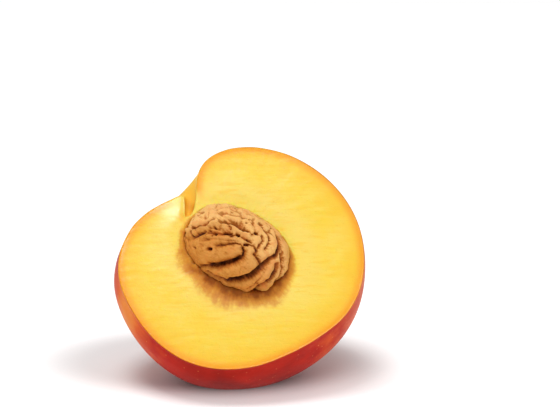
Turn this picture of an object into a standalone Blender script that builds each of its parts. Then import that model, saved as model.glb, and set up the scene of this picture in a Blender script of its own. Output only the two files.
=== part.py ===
"""Half of a ripe peach, cut along its seam, with the stone still in its hollow.

The half leans back on a small flat spot of its skin. Two solids are built:
the fruit half (skin and flesh grown as one piece) and the loose stone.
Lengths are written in millimetres and turned into metres as meshes are made.
"""

import math
import random

import bmesh
import bpy
import numpy as np
from mathutils import Euler, Matrix, Vector, noise

# Units and pose
MM = 0.001
FACE_ELEVATION = math.radians(40.0)
FACE_CENTRE = Vector((1.7, -5.5, 37.4))

# Seam frame of the cut face: the stem end points up and to the left
STEM_ANGLE = math.radians(131.0)
STEM_AXIS = Vector((math.cos(STEM_ANGLE), math.sin(STEM_ANGLE), 0.0))
SIDE_AXIS = Vector((math.sin(STEM_ANGLE), -math.cos(STEM_ANGLE), 0.0))
BACK_AXIS = Vector((0.0, 0.0, -1.0))

# Outlines of the fruit from the stem hollow to the blossom end, as (height
# along the stem axis, distance to the side). Rows of the three lists belong
# together: the shoulder side, the seam side, and the round back.
CAVITY_POLE = (19.4, -1.8)
BLOSSOM_POLE = (-32.7, 0.0)
SHOULDER_SIDE = [
    (20.3, 0.1), (22.3, 2.5), (24.6, 4.7), (26.8, 6.9), (28.6, 9.5), (29.5, 12.8),
    (29.1, 16.8), (27.0, 21.6), (22.4, 26.9), (14.6, 31.9), (5.0, 34.6), (-5.0, 34.6),
    (-14.4, 31.9), (-22.8, 26.5), (-29.3, 19.1), (-32.7, 10.2),
]
SEAM_SIDE = [
    (20.0, -3.4), (22.6, -1.4), (24.9, 0.3), (26.0, -0.4), (26.7, -2.8), (27.6, -6.8),
    (28.1, -11.4), (27.2, -17.6), (23.4, -24.9), (16.9, -30.4), (7.2, -33.7), (-3.6, -34.5),
    (-13.5, -32.2), (-21.4, -26.9), (-27.4, -19.0), (-30.8, -9.8),
]
BACK_SIDE = [
    (20.4, 1.7), (22.8, 2.2), (25.2, 2.9), (27.2, 4.0), (28.6, 6.0), (29.5, 9.5),
    (29.7, 14.0), (28.6, 20.0), (25.2, 27.0), (18.8, 33.6), (9.2, 39.2), (-2.4, 41.2),
    (-13.3, 38.8), (-22.6, 32.7), (-30.2, 24.0), (-33.6, 12.8),
]

# Skin surface between the outlines
ROW_SPACING = 2.5
SKIN_COLUMNS = 44
WIDEST_BEHIND_CUT = 1.0 / 6.0
SEAM_GROOVE_DEPTH = 0.9
SEAM_GROOVE_WIDTH = 4.0
SEAM_GROOVE_REACH = 30.0
SKIN_WAVE = 0.35
SKIN_WAVE_LENGTH = 22.0
SKIN_WAVE_FADE = 8.0
SHARP_ANGLE = math.radians(50.0)

# Stone: half sizes along its length, its width and its thickness
STONE_HALF_SIZE = Vector((15.9, 11.7, 9.0))
STONE_FULLNESS = 2.25
STONE_CENTRE = Vector((-1.1, 2.6, 0.0))
STONE_TURN = math.radians(-35.0)
STONE_CLEARANCE = 0.35
STONE_ROWS = 52
STONE_FRONT_COLUMNS = 42
STONE_BACK_COLUMNS = 26
HOLLOW_ROWS = 28
HOLLOW_COLUMNS = 40

# Furrows of the open side, as (depth, half width) and the run in the cut
# plane along and across the stone
FRONT_FURROWS = [
    (0.7, 0.55, [(-3.4, -5.2), (-0.2, -2.8), (1.9, -1.2), (3.1, -1.4)]),
    (1.9, 0.8, [(3.1, -1.4), (4.2, -2.8), (4.5, -5.0)]),
    (2.2, 1.25, [(4.5, -5.0), (2.3, -7.3), (-0.2, -9.9), (-2.6, -10.9)]),
    (2.1, 1.15, [(2.2, -11.7), (5.1, -10.4), (7.0, -9.0), (8.8, -7.1), (10.6, -5.1)]),
    (1.7, 0.95, [(10.6, -5.1), (11.3, -2.5), (11.8, 1.0), (11.8, 4.7), (9.8, 7.0), (6.6, 10.6)]),
    (1.0, 0.6, [(7.7, -2.0), (9.6, -2.2), (10.8, -2.9)]),
    (0.8, 0.6, [(14.2, -5.3), (14.5, -3.7), (14.4, -2.1), (14.6, -0.8)]),
    (1.7, 1.1, [(-6.4, 1.5), (-4.0, 2.6), (-1.3, 3.3), (0.9, 3.2)]),
    (0.9, 0.7, [(-2.9, 9.6), (0.4, 8.4), (3.0, 7.8), (6.0, 6.6)]),
    (1.3, 0.9, [(-9.3, 4.2), (-8.1, 5.5), (-4.3, 6.1)]),
    (0.9, 0.8, [(-11.2, -7.1), (-8.5, -9.0), (-4.8, -11.3)]),
]
FRONT_PITS = [
    (0.9, 0.9, (-11.1, -0.8)), (2.0, 1.4, (-7.3, -2.7)), (1.6, 1.1, (-4.5, -1.6)),
    (1.2, 0.7, (0.1, 0.3)), (1.3, 0.8, (-5.4, -7.6)), (0.9, 0.8, (-10.5, -4.7)),
    (1.0, 0.7, (3.7, 4.8)), (1.0, 0.8, (7.7, 5.6)), (1.1, 0.8, (7.9, -0.7)),
]
FURROW_SAMPLE = 0.5
FURROW_BLEND = 4.0
STONE_ROUGHNESS = 0.5
STONE_GRAIN = 3.1

# Furrows of the side in the hollow: drawn by chance within these bounds
BACK_FURROW_COUNT = 15
BACK_FURROW_SEED = 7
BACK_FURROW_STARTS = (-13.0, 8.0)
BACK_FURROW_SPREAD = 9.5
BACK_FURROW_BEND = 0.5
BACK_FURROW_STEP = 3.0
BACK_FURROW_STEPS = (2, 4)
BACK_FURROW_DEPTHS = (0.8, 1.6)
BACK_FURROW_WIDTHS = (0.6, 1.0)


def spline(points, position):
    """Return the smooth curve through points at a position counted in points."""
    index = min(int(position), len(points) - 4)
    t = position - index
    before, start, end, after = (np.array(p) for p in points[index:index + 4])
    cubic = 3.0 * (start - end) + after - before
    square = 2.0 * before - 5.0 * start + 4.0 * end - after
    return 0.5 * (2.0 * start + (end - before) * t + square * t ** 2 + cubic * t ** 3)


def side_runs():
    """Return the three outlines, closed over both poles by a mirrored point."""
    shoulder = [SEAM_SIDE[0], CAVITY_POLE] + SHOULDER_SIDE + [BLOSSOM_POLE, SEAM_SIDE[-1]]
    seam = [SHOULDER_SIDE[0], CAVITY_POLE] + SEAM_SIDE + [BLOSSOM_POLE, SHOULDER_SIDE[-1]]
    first = (BACK_SIDE[0][0], -BACK_SIDE[0][1])
    last = (BACK_SIDE[-1][0], -BACK_SIDE[-1][1])
    poles = [(CAVITY_POLE[0], 0.0), (BLOSSOM_POLE[0], 0.0)]
    back = [first, poles[0]] + BACK_SIDE + [poles[1], last]
    return shoulder, seam, back


def row_positions(run):
    """Spread the rows along one outline at about ROW_SPACING."""
    positions = [0.0]
    for index in range(1, len(run) - 2):
        length = math.dist(run[index], run[index + 1])
        parts = max(2, round(length / ROW_SPACING))
        positions += [index - 1 + (part + 1) / parts for part in range(parts)]
    return positions


def in_face(height, side):
    """Place a point given along the stem axis and to the side in the cut face."""
    return STEM_AXIS * float(height) + SIDE_AXIS * float(side)


def skin_row(shoulder, seam, back):
    """Return one ring of skin from the shoulder side round the back to the seam."""
    right = in_face(*shoulder)
    left = in_face(*seam)
    middle = (right + left) / 2.0
    half = (right - left) / 2.0
    back_middle = in_face(back[0], middle.dot(SIDE_AXIS)) + BACK_AXIS * float(back[1])
    depth = back_middle - middle
    overlap = WIDEST_BEHIND_CUT / (1.0 - WIDEST_BEHIND_CUT)
    start = -math.asin(overlap)
    widen = 1.0 / math.cos(start)
    points = []
    for column in range(SKIN_COLUMNS + 1):
        turn = start + (math.pi - 2.0 * start) * column / SKIN_COLUMNS
        sink = WIDEST_BEHIND_CUT + (1.0 - WIDEST_BEHIND_CUT) * math.sin(turn)
        outward = half * widen * math.cos(turn) + depth * sink
        points.append(middle + swell(middle, outward, turn, half.length))
    for end in (0, SKIN_COLUMNS):
        points[end].z = 0.0
    return points


def swell(middle, outward, turn, reach):
    """Add the seam's groove and the skin's slow waves to one point of a ring."""
    behind = max(0.0, -outward.z)
    seam_share = max(0.0, -math.cos(turn)) ** 2 * min(1.0, reach / SEAM_GROOVE_REACH)
    groove = SEAM_GROOVE_DEPTH * seam_share * (1.0 - math.exp(-((behind / SEAM_GROOVE_WIDTH) ** 2)))
    edge_free = min(1.0, behind / SKIN_WAVE_FADE) * min(1.0, reach / SKIN_WAVE_FADE)
    wave = SKIN_WAVE * edge_free * noise.noise((middle + outward) / SKIN_WAVE_LENGTH)
    return outward * (1.0 + (groove + wave) / max(outward.length, 1.0))


def make_object(name, mesh_builder, material, parent=None):
    """Turn a bmesh in millimetres into an object with its material."""
    mesh_builder.normal_update()
    bmesh.ops.recalc_face_normals(mesh_builder, faces=mesh_builder.faces[:])
    bmesh.ops.scale(mesh_builder, vec=(MM, MM, MM), verts=mesh_builder.verts[:])
    mesh = bpy.data.meshes.new(name)
    mesh_builder.to_mesh(mesh)
    mesh_builder.free()
    mesh.materials.append(material)
    mesh.shade_smooth()
    mesh.set_sharp_from_angle(angle=SHARP_ANGLE)
    item = bpy.data.objects.new(name, mesh)
    item.parent = parent
    bpy.context.scene.collection.objects.link(item)
    return item


def principled(name, colour, roughness):
    """Make a plain Principled material."""
    material = bpy.data.materials.new(name)
    material.use_nodes = True
    shader = material.node_tree.nodes["Principled BSDF"]
    shader.inputs["Base Color"].default_value = (*colour, 1.0)
    shader.inputs["Roughness"].default_value = roughness
    shader.inputs["Metallic"].default_value = 0.0
    return material


def build_fruit(parent, skin, flesh):
    """Build the half: rings of skin, the cut face, and the flat resting spot."""
    shoulder, seam, back = side_runs()
    rings = bmesh.new()
    rows = []
    for position in row_positions(shoulder):
        ring = skin_row(spline(shoulder, position), spline(seam, position), spline(back, position))
        if position in (0.0, len(shoulder) - 3.0):
            rows.append([rings.verts.new(ring[0])])
        else:
            rows.append([rings.verts.new(point) for point in ring])
    for above, below in zip(rows, rows[1:]):
        for column in range(SKIN_COLUMNS):
            corners = [above[min(column, len(above) - 1)], above[min(column + 1, len(above) - 1)],
                       below[min(column + 1, len(below) - 1)], below[min(column, len(below) - 1)]]
            rings.faces.new(list(dict.fromkeys(corners)))
    edge = [row[0] for row in rows] + [row[-1] for row in reversed(rows[1:-1])]
    cut_face = rings.faces.new(edge)
    cut_face.material_index = 1
    stand_on_floor(rings)
    fruit = make_object("fruit_half", rings, skin, parent)
    fruit.data.materials.append(flesh)
    return fruit


def stand_on_floor(rings):
    """Cut the skin level with the floor, which leaves the flat resting spot."""
    pose = Matrix.LocRotScale(FACE_CENTRE, face_rotation(), None)
    to_face = pose.inverted()
    floor_point = to_face @ Vector((0.0, 0.0, 0.0))
    floor_down = to_face.to_3x3() @ Vector((0.0, 0.0, -1.0))
    everything = rings.verts[:] + rings.edges[:] + rings.faces[:]
    cut = bmesh.ops.bisect_plane(rings, geom=everything, plane_co=floor_point,
                                 plane_no=floor_down, clear_outer=True)
    rim = [part for part in cut["geom_cut"] if isinstance(part, bmesh.types.BMEdge)]
    bmesh.ops.contextual_create(rings, geom=rim)


def face_rotation():
    """Return the turn that leans the cut face back from upright."""
    return Euler((math.pi / 2.0 - FACE_ELEVATION, 0.0, 0.0))


def stone_reach(direction, half_size):
    """Return the distance from the stone's middle to its outside along a direction."""
    parts = [abs(direction[axis] / half_size[axis]) ** STONE_FULLNESS for axis in range(3)]
    return sum(parts) ** (-1.0 / STONE_FULLNESS)


def stone_direction(row_turn, column_turn):
    """Return the direction at two turns: from the base end, and round from the top."""
    across = math.sin(row_turn)
    return Vector((-math.cos(row_turn), across * math.sin(column_turn), across * math.cos(column_turn)))


def column_turns(front, back):
    """Spread columns round the stone, with front and back halves of their own count."""
    turns = [-math.pi / 2.0 + math.pi * column / front for column in range(front)]
    return turns + [math.pi / 2.0 + math.pi * column / back for column in range(back)]


def lifted(run, side):
    """Sample a furrow's run and lift it onto the stone's outside."""
    points = []
    for start, end in zip(run, run[1:]):
        parts = max(1, round(math.dist(start, end) / FURROW_SAMPLE))
        for part in range(parts + 1):
            flat = Vector(start).lerp(Vector(end), part / parts)
            share = sum(abs(flat[axis] / STONE_HALF_SIZE[axis]) ** STONE_FULLNESS for axis in range(2))
            height = max(0.0, 1.0 - share) ** (1.0 / STONE_FULLNESS) * STONE_HALF_SIZE.z
            points.append((flat.x, flat.y, side * height))
    return np.array(points)


def back_furrows():
    """Make the winding furrows of the side that lies in the hollow."""
    picker = random.Random(BACK_FURROW_SEED)
    furrows = []
    for _ in range(BACK_FURROW_COUNT):
        along = picker.uniform(*BACK_FURROW_STARTS)
        across = picker.uniform(-BACK_FURROW_SPREAD, BACK_FURROW_SPREAD)
        heading = picker.uniform(-BACK_FURROW_BEND, BACK_FURROW_BEND)
        run = [(along, across)]
        for _ in range(picker.randint(*BACK_FURROW_STEPS)):
            heading += picker.uniform(-BACK_FURROW_BEND, BACK_FURROW_BEND)
            along += BACK_FURROW_STEP * math.cos(heading)
            across += BACK_FURROW_STEP * math.sin(heading)
            run.append((along, across))
        depth = picker.uniform(*BACK_FURROW_DEPTHS)
        furrows.append((depth, picker.uniform(*BACK_FURROW_WIDTHS), run))
    return furrows


def relief_depth(points):
    """Return how deep each point of the stone's outside sinks."""
    furrows = [(depth, width, lifted(run, 1.0)) for depth, width, run in FRONT_FURROWS]
    furrows += [(depth, width, lifted([spot, spot], 1.0)) for depth, width, spot in FRONT_PITS]
    furrows += [(depth, width, lifted(run, -1.0)) for depth, width, run in back_furrows()]
    total = np.zeros(len(points))
    for depth, width, path in furrows:
        gap = np.linalg.norm(points[:, None, :] - path[None, :, :], axis=2).min(axis=1)
        total += (depth * np.exp(-((gap / width) ** 2))) ** FURROW_BLEND
    return total ** (1.0 / FURROW_BLEND)


def build_stone(parent, material):
    """Build the stone with its furrows, ridges and pits."""
    turns = column_turns(STONE_FRONT_COLUMNS, STONE_BACK_COLUMNS)
    directions = [stone_direction(math.pi * row / STONE_ROWS, turn)
                  for row in range(1, STONE_ROWS) for turn in turns]
    directions += [Vector((-1.0, 0.0, 0.0)), Vector((1.0, 0.0, 0.0))]
    outside = np.array([way * stone_reach(way, STONE_HALF_SIZE) for way in directions])
    depths = relief_depth(outside)
    stone = bmesh.new()
    verts = []
    for point, way, depth in zip(outside, directions, depths):
        grain = 0.5 + 0.5 * noise.noise(Vector(point) / STONE_GRAIN)
        reach = Vector(point).length - depth - STONE_ROUGHNESS * grain
        verts.append(stone.verts.new(way * reach))
    weave_grid(stone, verts, len(turns), STONE_ROWS - 1)
    item = make_object("peach_stone", stone, material, parent)
    item.location = STONE_CENTRE * MM
    item.rotation_euler = (0.0, 0.0, STONE_TURN)
    return item


def weave_grid(target, verts, columns, rows):
    """Join rows of points round an axis into faces and close both ends with fans."""
    base, tip = verts[-2], verts[-1]
    for column in range(columns):
        beside = (column + 1) % columns
        target.faces.new((base, verts[column], verts[beside]))
        for row in range(rows - 1):
            here = row * columns
            target.faces.new((verts[here + column], verts[here + columns + column],
                              verts[here + columns + beside], verts[here + beside]))
        last = (rows - 1) * columns
        target.faces.new((tip, verts[last + beside], verts[last + column]))


def cut_hollow(fruit, parent, material):
    """Cut the hollow for the stone, a little larger than the stone all round."""
    grown = STONE_HALF_SIZE + Vector((STONE_CLEARANCE,) * 3)
    turns = column_turns(HOLLOW_COLUMNS // 2, HOLLOW_COLUMNS // 2)
    directions = [stone_direction(math.pi * row / HOLLOW_ROWS, turn)
                  for row in range(1, HOLLOW_ROWS) for turn in turns]
    directions += [Vector((-1.0, 0.0, 0.0)), Vector((1.0, 0.0, 0.0))]
    cutter = bmesh.new()
    verts = [cutter.verts.new(way * stone_reach(way, grown)) for way in directions]
    weave_grid(cutter, verts, len(turns), HOLLOW_ROWS - 1)
    item = make_object("stone_hollow_cutter", cutter, material, parent)
    item.location = STONE_CENTRE * MM
    item.rotation_euler = (0.0, 0.0, STONE_TURN)
    item.hide_render = True
    item.display_type = "WIRE"
    boolean = fruit.modifiers.new("stone_hollow", "BOOLEAN")
    boolean.operation = "DIFFERENCE"
    boolean.object = item


def main():
    """Clear the scene and build both pieces on the leaning frame."""
    for item in list(bpy.data.objects):
        bpy.data.objects.remove(item, do_unlink=True)
    frame = bpy.data.objects.new("cut_face_frame", None)
    frame.location = FACE_CENTRE * MM
    frame.rotation_euler = face_rotation()
    bpy.context.scene.collection.objects.link(frame)
    skin = principled("peach_skin", (0.55, 0.09, 0.035), 0.38)
    flesh = principled("peach_flesh", (0.93, 0.60, 0.12), 0.35)
    shell = principled("stone_shell", (0.47, 0.21, 0.07), 0.6)
    fruit = build_fruit(frame, skin, flesh)
    build_stone(frame, shell)
    cut_hollow(fruit, frame, flesh)


main()
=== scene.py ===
"""Looks of a ripe peach half with its stone: fine meshes, finishes, studio and camera.

The half leans back on a small flat spot of skin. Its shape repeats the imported
solids' own outlines at a finer pitch, in millimetres in the frame of the cut
face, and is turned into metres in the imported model's frame as meshes are made.
"""

import logging
import math
from dataclasses import dataclass, field
from enum import Enum
from typing import Any, Callable, Iterator

import bpy
import numpy as np
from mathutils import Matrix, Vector, geometry, noise


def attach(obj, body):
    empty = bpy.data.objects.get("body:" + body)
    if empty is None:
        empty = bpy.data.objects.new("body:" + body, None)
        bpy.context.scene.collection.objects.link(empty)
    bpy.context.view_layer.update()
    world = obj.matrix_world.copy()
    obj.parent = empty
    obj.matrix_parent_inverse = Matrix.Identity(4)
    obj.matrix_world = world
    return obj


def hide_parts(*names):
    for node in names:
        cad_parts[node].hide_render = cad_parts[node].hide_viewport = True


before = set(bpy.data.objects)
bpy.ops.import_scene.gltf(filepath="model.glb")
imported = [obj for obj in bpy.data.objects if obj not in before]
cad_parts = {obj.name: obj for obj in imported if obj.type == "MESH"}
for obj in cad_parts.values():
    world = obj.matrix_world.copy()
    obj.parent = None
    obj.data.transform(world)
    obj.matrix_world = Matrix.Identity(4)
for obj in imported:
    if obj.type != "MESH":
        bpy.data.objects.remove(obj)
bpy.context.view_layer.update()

MM = 0.001
NOISE_MIDDLE = 0.5
TRIANGLE_ROWS = math.sqrt(0.75)
TINY = 1e-12
NEAR_NOTHING = 1e-6
LOG = logging.getLogger("peach_half")

Pair = tuple[float, float]
Triple = tuple[float, float, float]
Colour = tuple[float, float, float]
Stops = tuple[tuple[float, Colour], ...]
Socket = bpy.types.NodeSocket


class Place(Enum):
    """Names of the numbers that the meshes carry for their finishes."""

    FRUIT = "fruit_place"
    FIBRE = "fibre_run"
    FROM_SKIN = "from_skin"
    FROM_STONE = "from_stone"
    HALO_AND_SHADE = "stone_halo_and_shade"
    LIGHT_AND_SHADE = "stone_light_and_shade"
    STONE = "stone_place"


def smooth_step(values: np.ndarray, low: float, high: float) -> np.ndarray:
    """Ease values from 0 at low to 1 at high.

    Args:
        values: The numbers to ease.
        low: Where the result starts to leave 0.
        high: Where the result reaches 1.

    Returns:
        The eased numbers.
    """
    share = np.clip((values - low) / (high - low), 0.0, 1.0)
    return share * share * (3.0 - 2.0 * share)


def cloud(points: np.ndarray, size: float, shift: float = 0.0) -> np.ndarray:
    """Sample smooth noise at points.

    Args:
        points: Positions, one row each.
        size: The length over which the noise changes.
        shift: Moves the pattern, so that two clouds differ.

    Returns:
        Values from about -1 to 1.
    """
    places = points / size + shift
    return np.array([noise.noise(Vector(place)) for place in places])


def mound(values: np.ndarray, width: float) -> np.ndarray:
    """Return 1 at 0, easing off on both sides over a width."""
    return np.exp(-((values / width) ** 2))


@dataclass(frozen=True)
class CutFrame:
    """The frame of the cut face: right, up the face, and out of it.

    Attributes:
        centre: The face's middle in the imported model's frame, mm.
        elevation: How far the face's normal rises from level.
        stem_angle: The stem end's direction in the face, from the right.
    """

    centre: Triple = (1.7, -5.5, 37.4)
    elevation: float = math.radians(40.0)
    stem_angle: float = math.radians(131.0)

    @property
    def axes(self) -> np.ndarray:
        """Right, up and out as rows."""
        rise, lean = math.sin(self.elevation), math.cos(self.elevation)
        return np.array([[1.0, 0.0, 0.0], [0.0, rise, lean], [0.0, -lean, rise]])

    @property
    def stem(self) -> np.ndarray:
        """The stem direction in the face."""
        return np.array([math.cos(self.stem_angle), math.sin(self.stem_angle), 0.0])

    @property
    def side(self) -> np.ndarray:
        """The direction across the stem axis, towards the shoulder."""
        return np.array([math.sin(self.stem_angle), -math.cos(self.stem_angle), 0.0])

    def to_model(self, points: np.ndarray) -> np.ndarray:
        """Take points from the face's frame to the model's frame, both mm."""
        return points @ self.axes + np.array(self.centre)

    def spread(self, heights: np.ndarray, sides: np.ndarray) -> np.ndarray:
        """Place points by height along the stem axis and distance to the side."""
        return heights[:, None] * self.stem + sides[:, None] * self.side


@dataclass(frozen=True)
class FruitOutline:
    """The three outlines of the fruit, from the stem hollow to the blossom end.

    Each point is a height along the stem axis and a distance to the side, mm.

    Attributes:
        cavity_pole: Where the rings start, in the stem hollow.
        blossom_pole: Where they end.
        shoulder: The outline of the shoulder side.
        seam: The outline of the seam side.
        back: The outline of the round back, as heights and depths.
        fewest_parts: The fewest rows between two points of an outline.
    """

    cavity_pole: Pair = (19.4, -1.8)
    blossom_pole: Pair = (-32.7, 0.0)
    shoulder: tuple[Pair, ...] = (
        (20.3, 0.1), (22.3, 2.5), (24.6, 4.7), (26.8, 6.9), (28.6, 9.5), (29.5, 12.8),
        (29.1, 16.8), (27.0, 21.6), (22.4, 26.9), (14.6, 31.9), (5.0, 34.6), (-5.0, 34.6),
        (-14.4, 31.9), (-22.8, 26.5), (-29.3, 19.1), (-32.7, 10.2),
    )
    seam: tuple[Pair, ...] = (
        (20.0, -3.4), (22.6, -1.4), (24.9, 0.3), (26.0, -0.4), (26.7, -2.8), (27.6, -6.8),
        (28.1, -11.4), (27.2, -17.6), (23.4, -24.9), (16.9, -30.4), (7.2, -33.7),
        (-3.6, -34.5), (-13.5, -32.2), (-21.4, -26.9), (-27.4, -19.0), (-30.8, -9.8),
    )
    back: tuple[Pair, ...] = (
        (20.4, 1.7), (22.8, 2.2), (25.2, 2.9), (27.2, 4.0), (28.6, 6.0), (29.5, 9.5),
        (29.7, 14.0), (28.6, 20.0), (25.2, 27.0), (18.8, 33.6), (9.2, 39.2), (-2.4, 41.2),
        (-13.3, 38.8), (-22.6, 32.7), (-30.2, 24.0), (-33.6, 12.8),
    )
    fewest_parts: int = 4

    def runs(self) -> tuple[np.ndarray, np.ndarray, np.ndarray]:
        """Close the outlines over both poles by a mirrored point.

        Returns:
            The shoulder side, the seam side and the back.
        """
        top, bottom = self.cavity_pole, self.blossom_pole
        shoulder = [self.seam[0], top, *self.shoulder, bottom, self.seam[-1]]
        seam = [self.shoulder[0], top, *self.seam, bottom, self.shoulder[-1]]
        over = [(height, -depth) for height, depth in (self.back[0], self.back[-1])]
        poles = [(top[0], 0.0), (bottom[0], 0.0)]
        back = [over[0], poles[0], *self.back, poles[1], over[1]]
        return np.array(shoulder), np.array(seam), np.array(back)

    @staticmethod
    def along(run: np.ndarray, positions: np.ndarray) -> np.ndarray:
        """Follow the smooth curve through an outline.

        Args:
            run: The outline's points.
            positions: Places along it, counted in points.

        Returns:
            One point for each position.
        """
        index = np.minimum(positions.astype(int), len(run) - 4)
        share = (positions - index)[:, None]
        before, start, end, after = (run[index + step] for step in range(4))
        cubic = 3.0 * (start - end) + after - before
        square = 2.0 * before - 5.0 * start + 4.0 * end - after
        return 0.5 * (2.0 * start + (end - before) * share + square * share**2 + cubic * share**3)

    def positions(self, run: np.ndarray, pitch: float) -> np.ndarray:
        """Spread rows along an outline.

        Args:
            run: The outline's points.
            pitch: The wanted distance between rows, mm.

        Returns:
            Places along the outline, counted in points.
        """
        places = [0.0]
        for index in range(1, len(run) - 2):
            length = float(np.linalg.norm(run[index + 1] - run[index]))
            parts = max(self.fewest_parts, round(length / pitch))
            places += [index - 1 + (part + 1) / parts for part in range(parts)]
        return np.array(places)


@dataclass(frozen=True)
class StoneForm:
    """The stone's outer form and its place in the cut face.

    Attributes:
        half_size: Half its length, width and thickness, mm.
        fullness: 2 for an ellipsoid, more for a boxier form.
        centre: Its middle in the face's frame, mm.
        turn: The direction of its length in the face.
    """

    half_size: Triple = (15.9, 11.7, 9.0)
    fullness: float = 2.25
    centre: Triple = (-1.1, 2.6, 0.0)
    turn: float = math.radians(-35.0)

    def reach(self, ways: np.ndarray, grow: float | np.ndarray = 0.0) -> np.ndarray:
        """Find how far the form reaches.

        Args:
            ways: Directions in the stone's frame.
            grow: How far the form is grown all round, mm.

        Returns:
            The reach along each direction, mm.
        """
        sizes = np.array(self.half_size) + np.asarray(grow)[..., None]
        total = (np.abs(ways / sizes) ** self.fullness).sum(axis=-1)
        return np.maximum(total, TINY) ** (-1.0 / self.fullness)

    @property
    def axes(self) -> np.ndarray:
        """The stone's length, width and thickness directions in the face's frame."""
        cos, sin = math.cos(self.turn), math.sin(self.turn)
        return np.array([[cos, sin, 0.0], [-sin, cos, 0.0], [0.0, 0.0, 1.0]])

    @property
    def up(self) -> np.ndarray:
        """The direction up the cut face, in the stone's frame."""
        return np.array([math.sin(self.turn), math.cos(self.turn), 0.0])

    def to_face(self, points: np.ndarray) -> np.ndarray:
        """Take points from the stone's frame to the face's frame."""
        return points @ self.axes + np.array(self.centre)

    def from_face(self, points: np.ndarray) -> np.ndarray:
        """Take points from the face's frame to the stone's frame."""
        return (points - np.array(self.centre)) @ self.axes.T

    def lift(self, spots: np.ndarray, side: float) -> np.ndarray:
        """Lift flat spots onto the form's outside.

        Args:
            spots: Places along and across the stone, mm.
            side: 1 for the open side, -1 for the sunk one.

        Returns:
            Points in the stone's frame.
        """
        share = (np.abs(spots / np.array(self.half_size[:2])) ** self.fullness).sum(axis=1)
        height = np.maximum(0.0, 1.0 - share) ** (1.0 / self.fullness) * self.half_size[2]
        return np.column_stack([spots, side * height])


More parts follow.
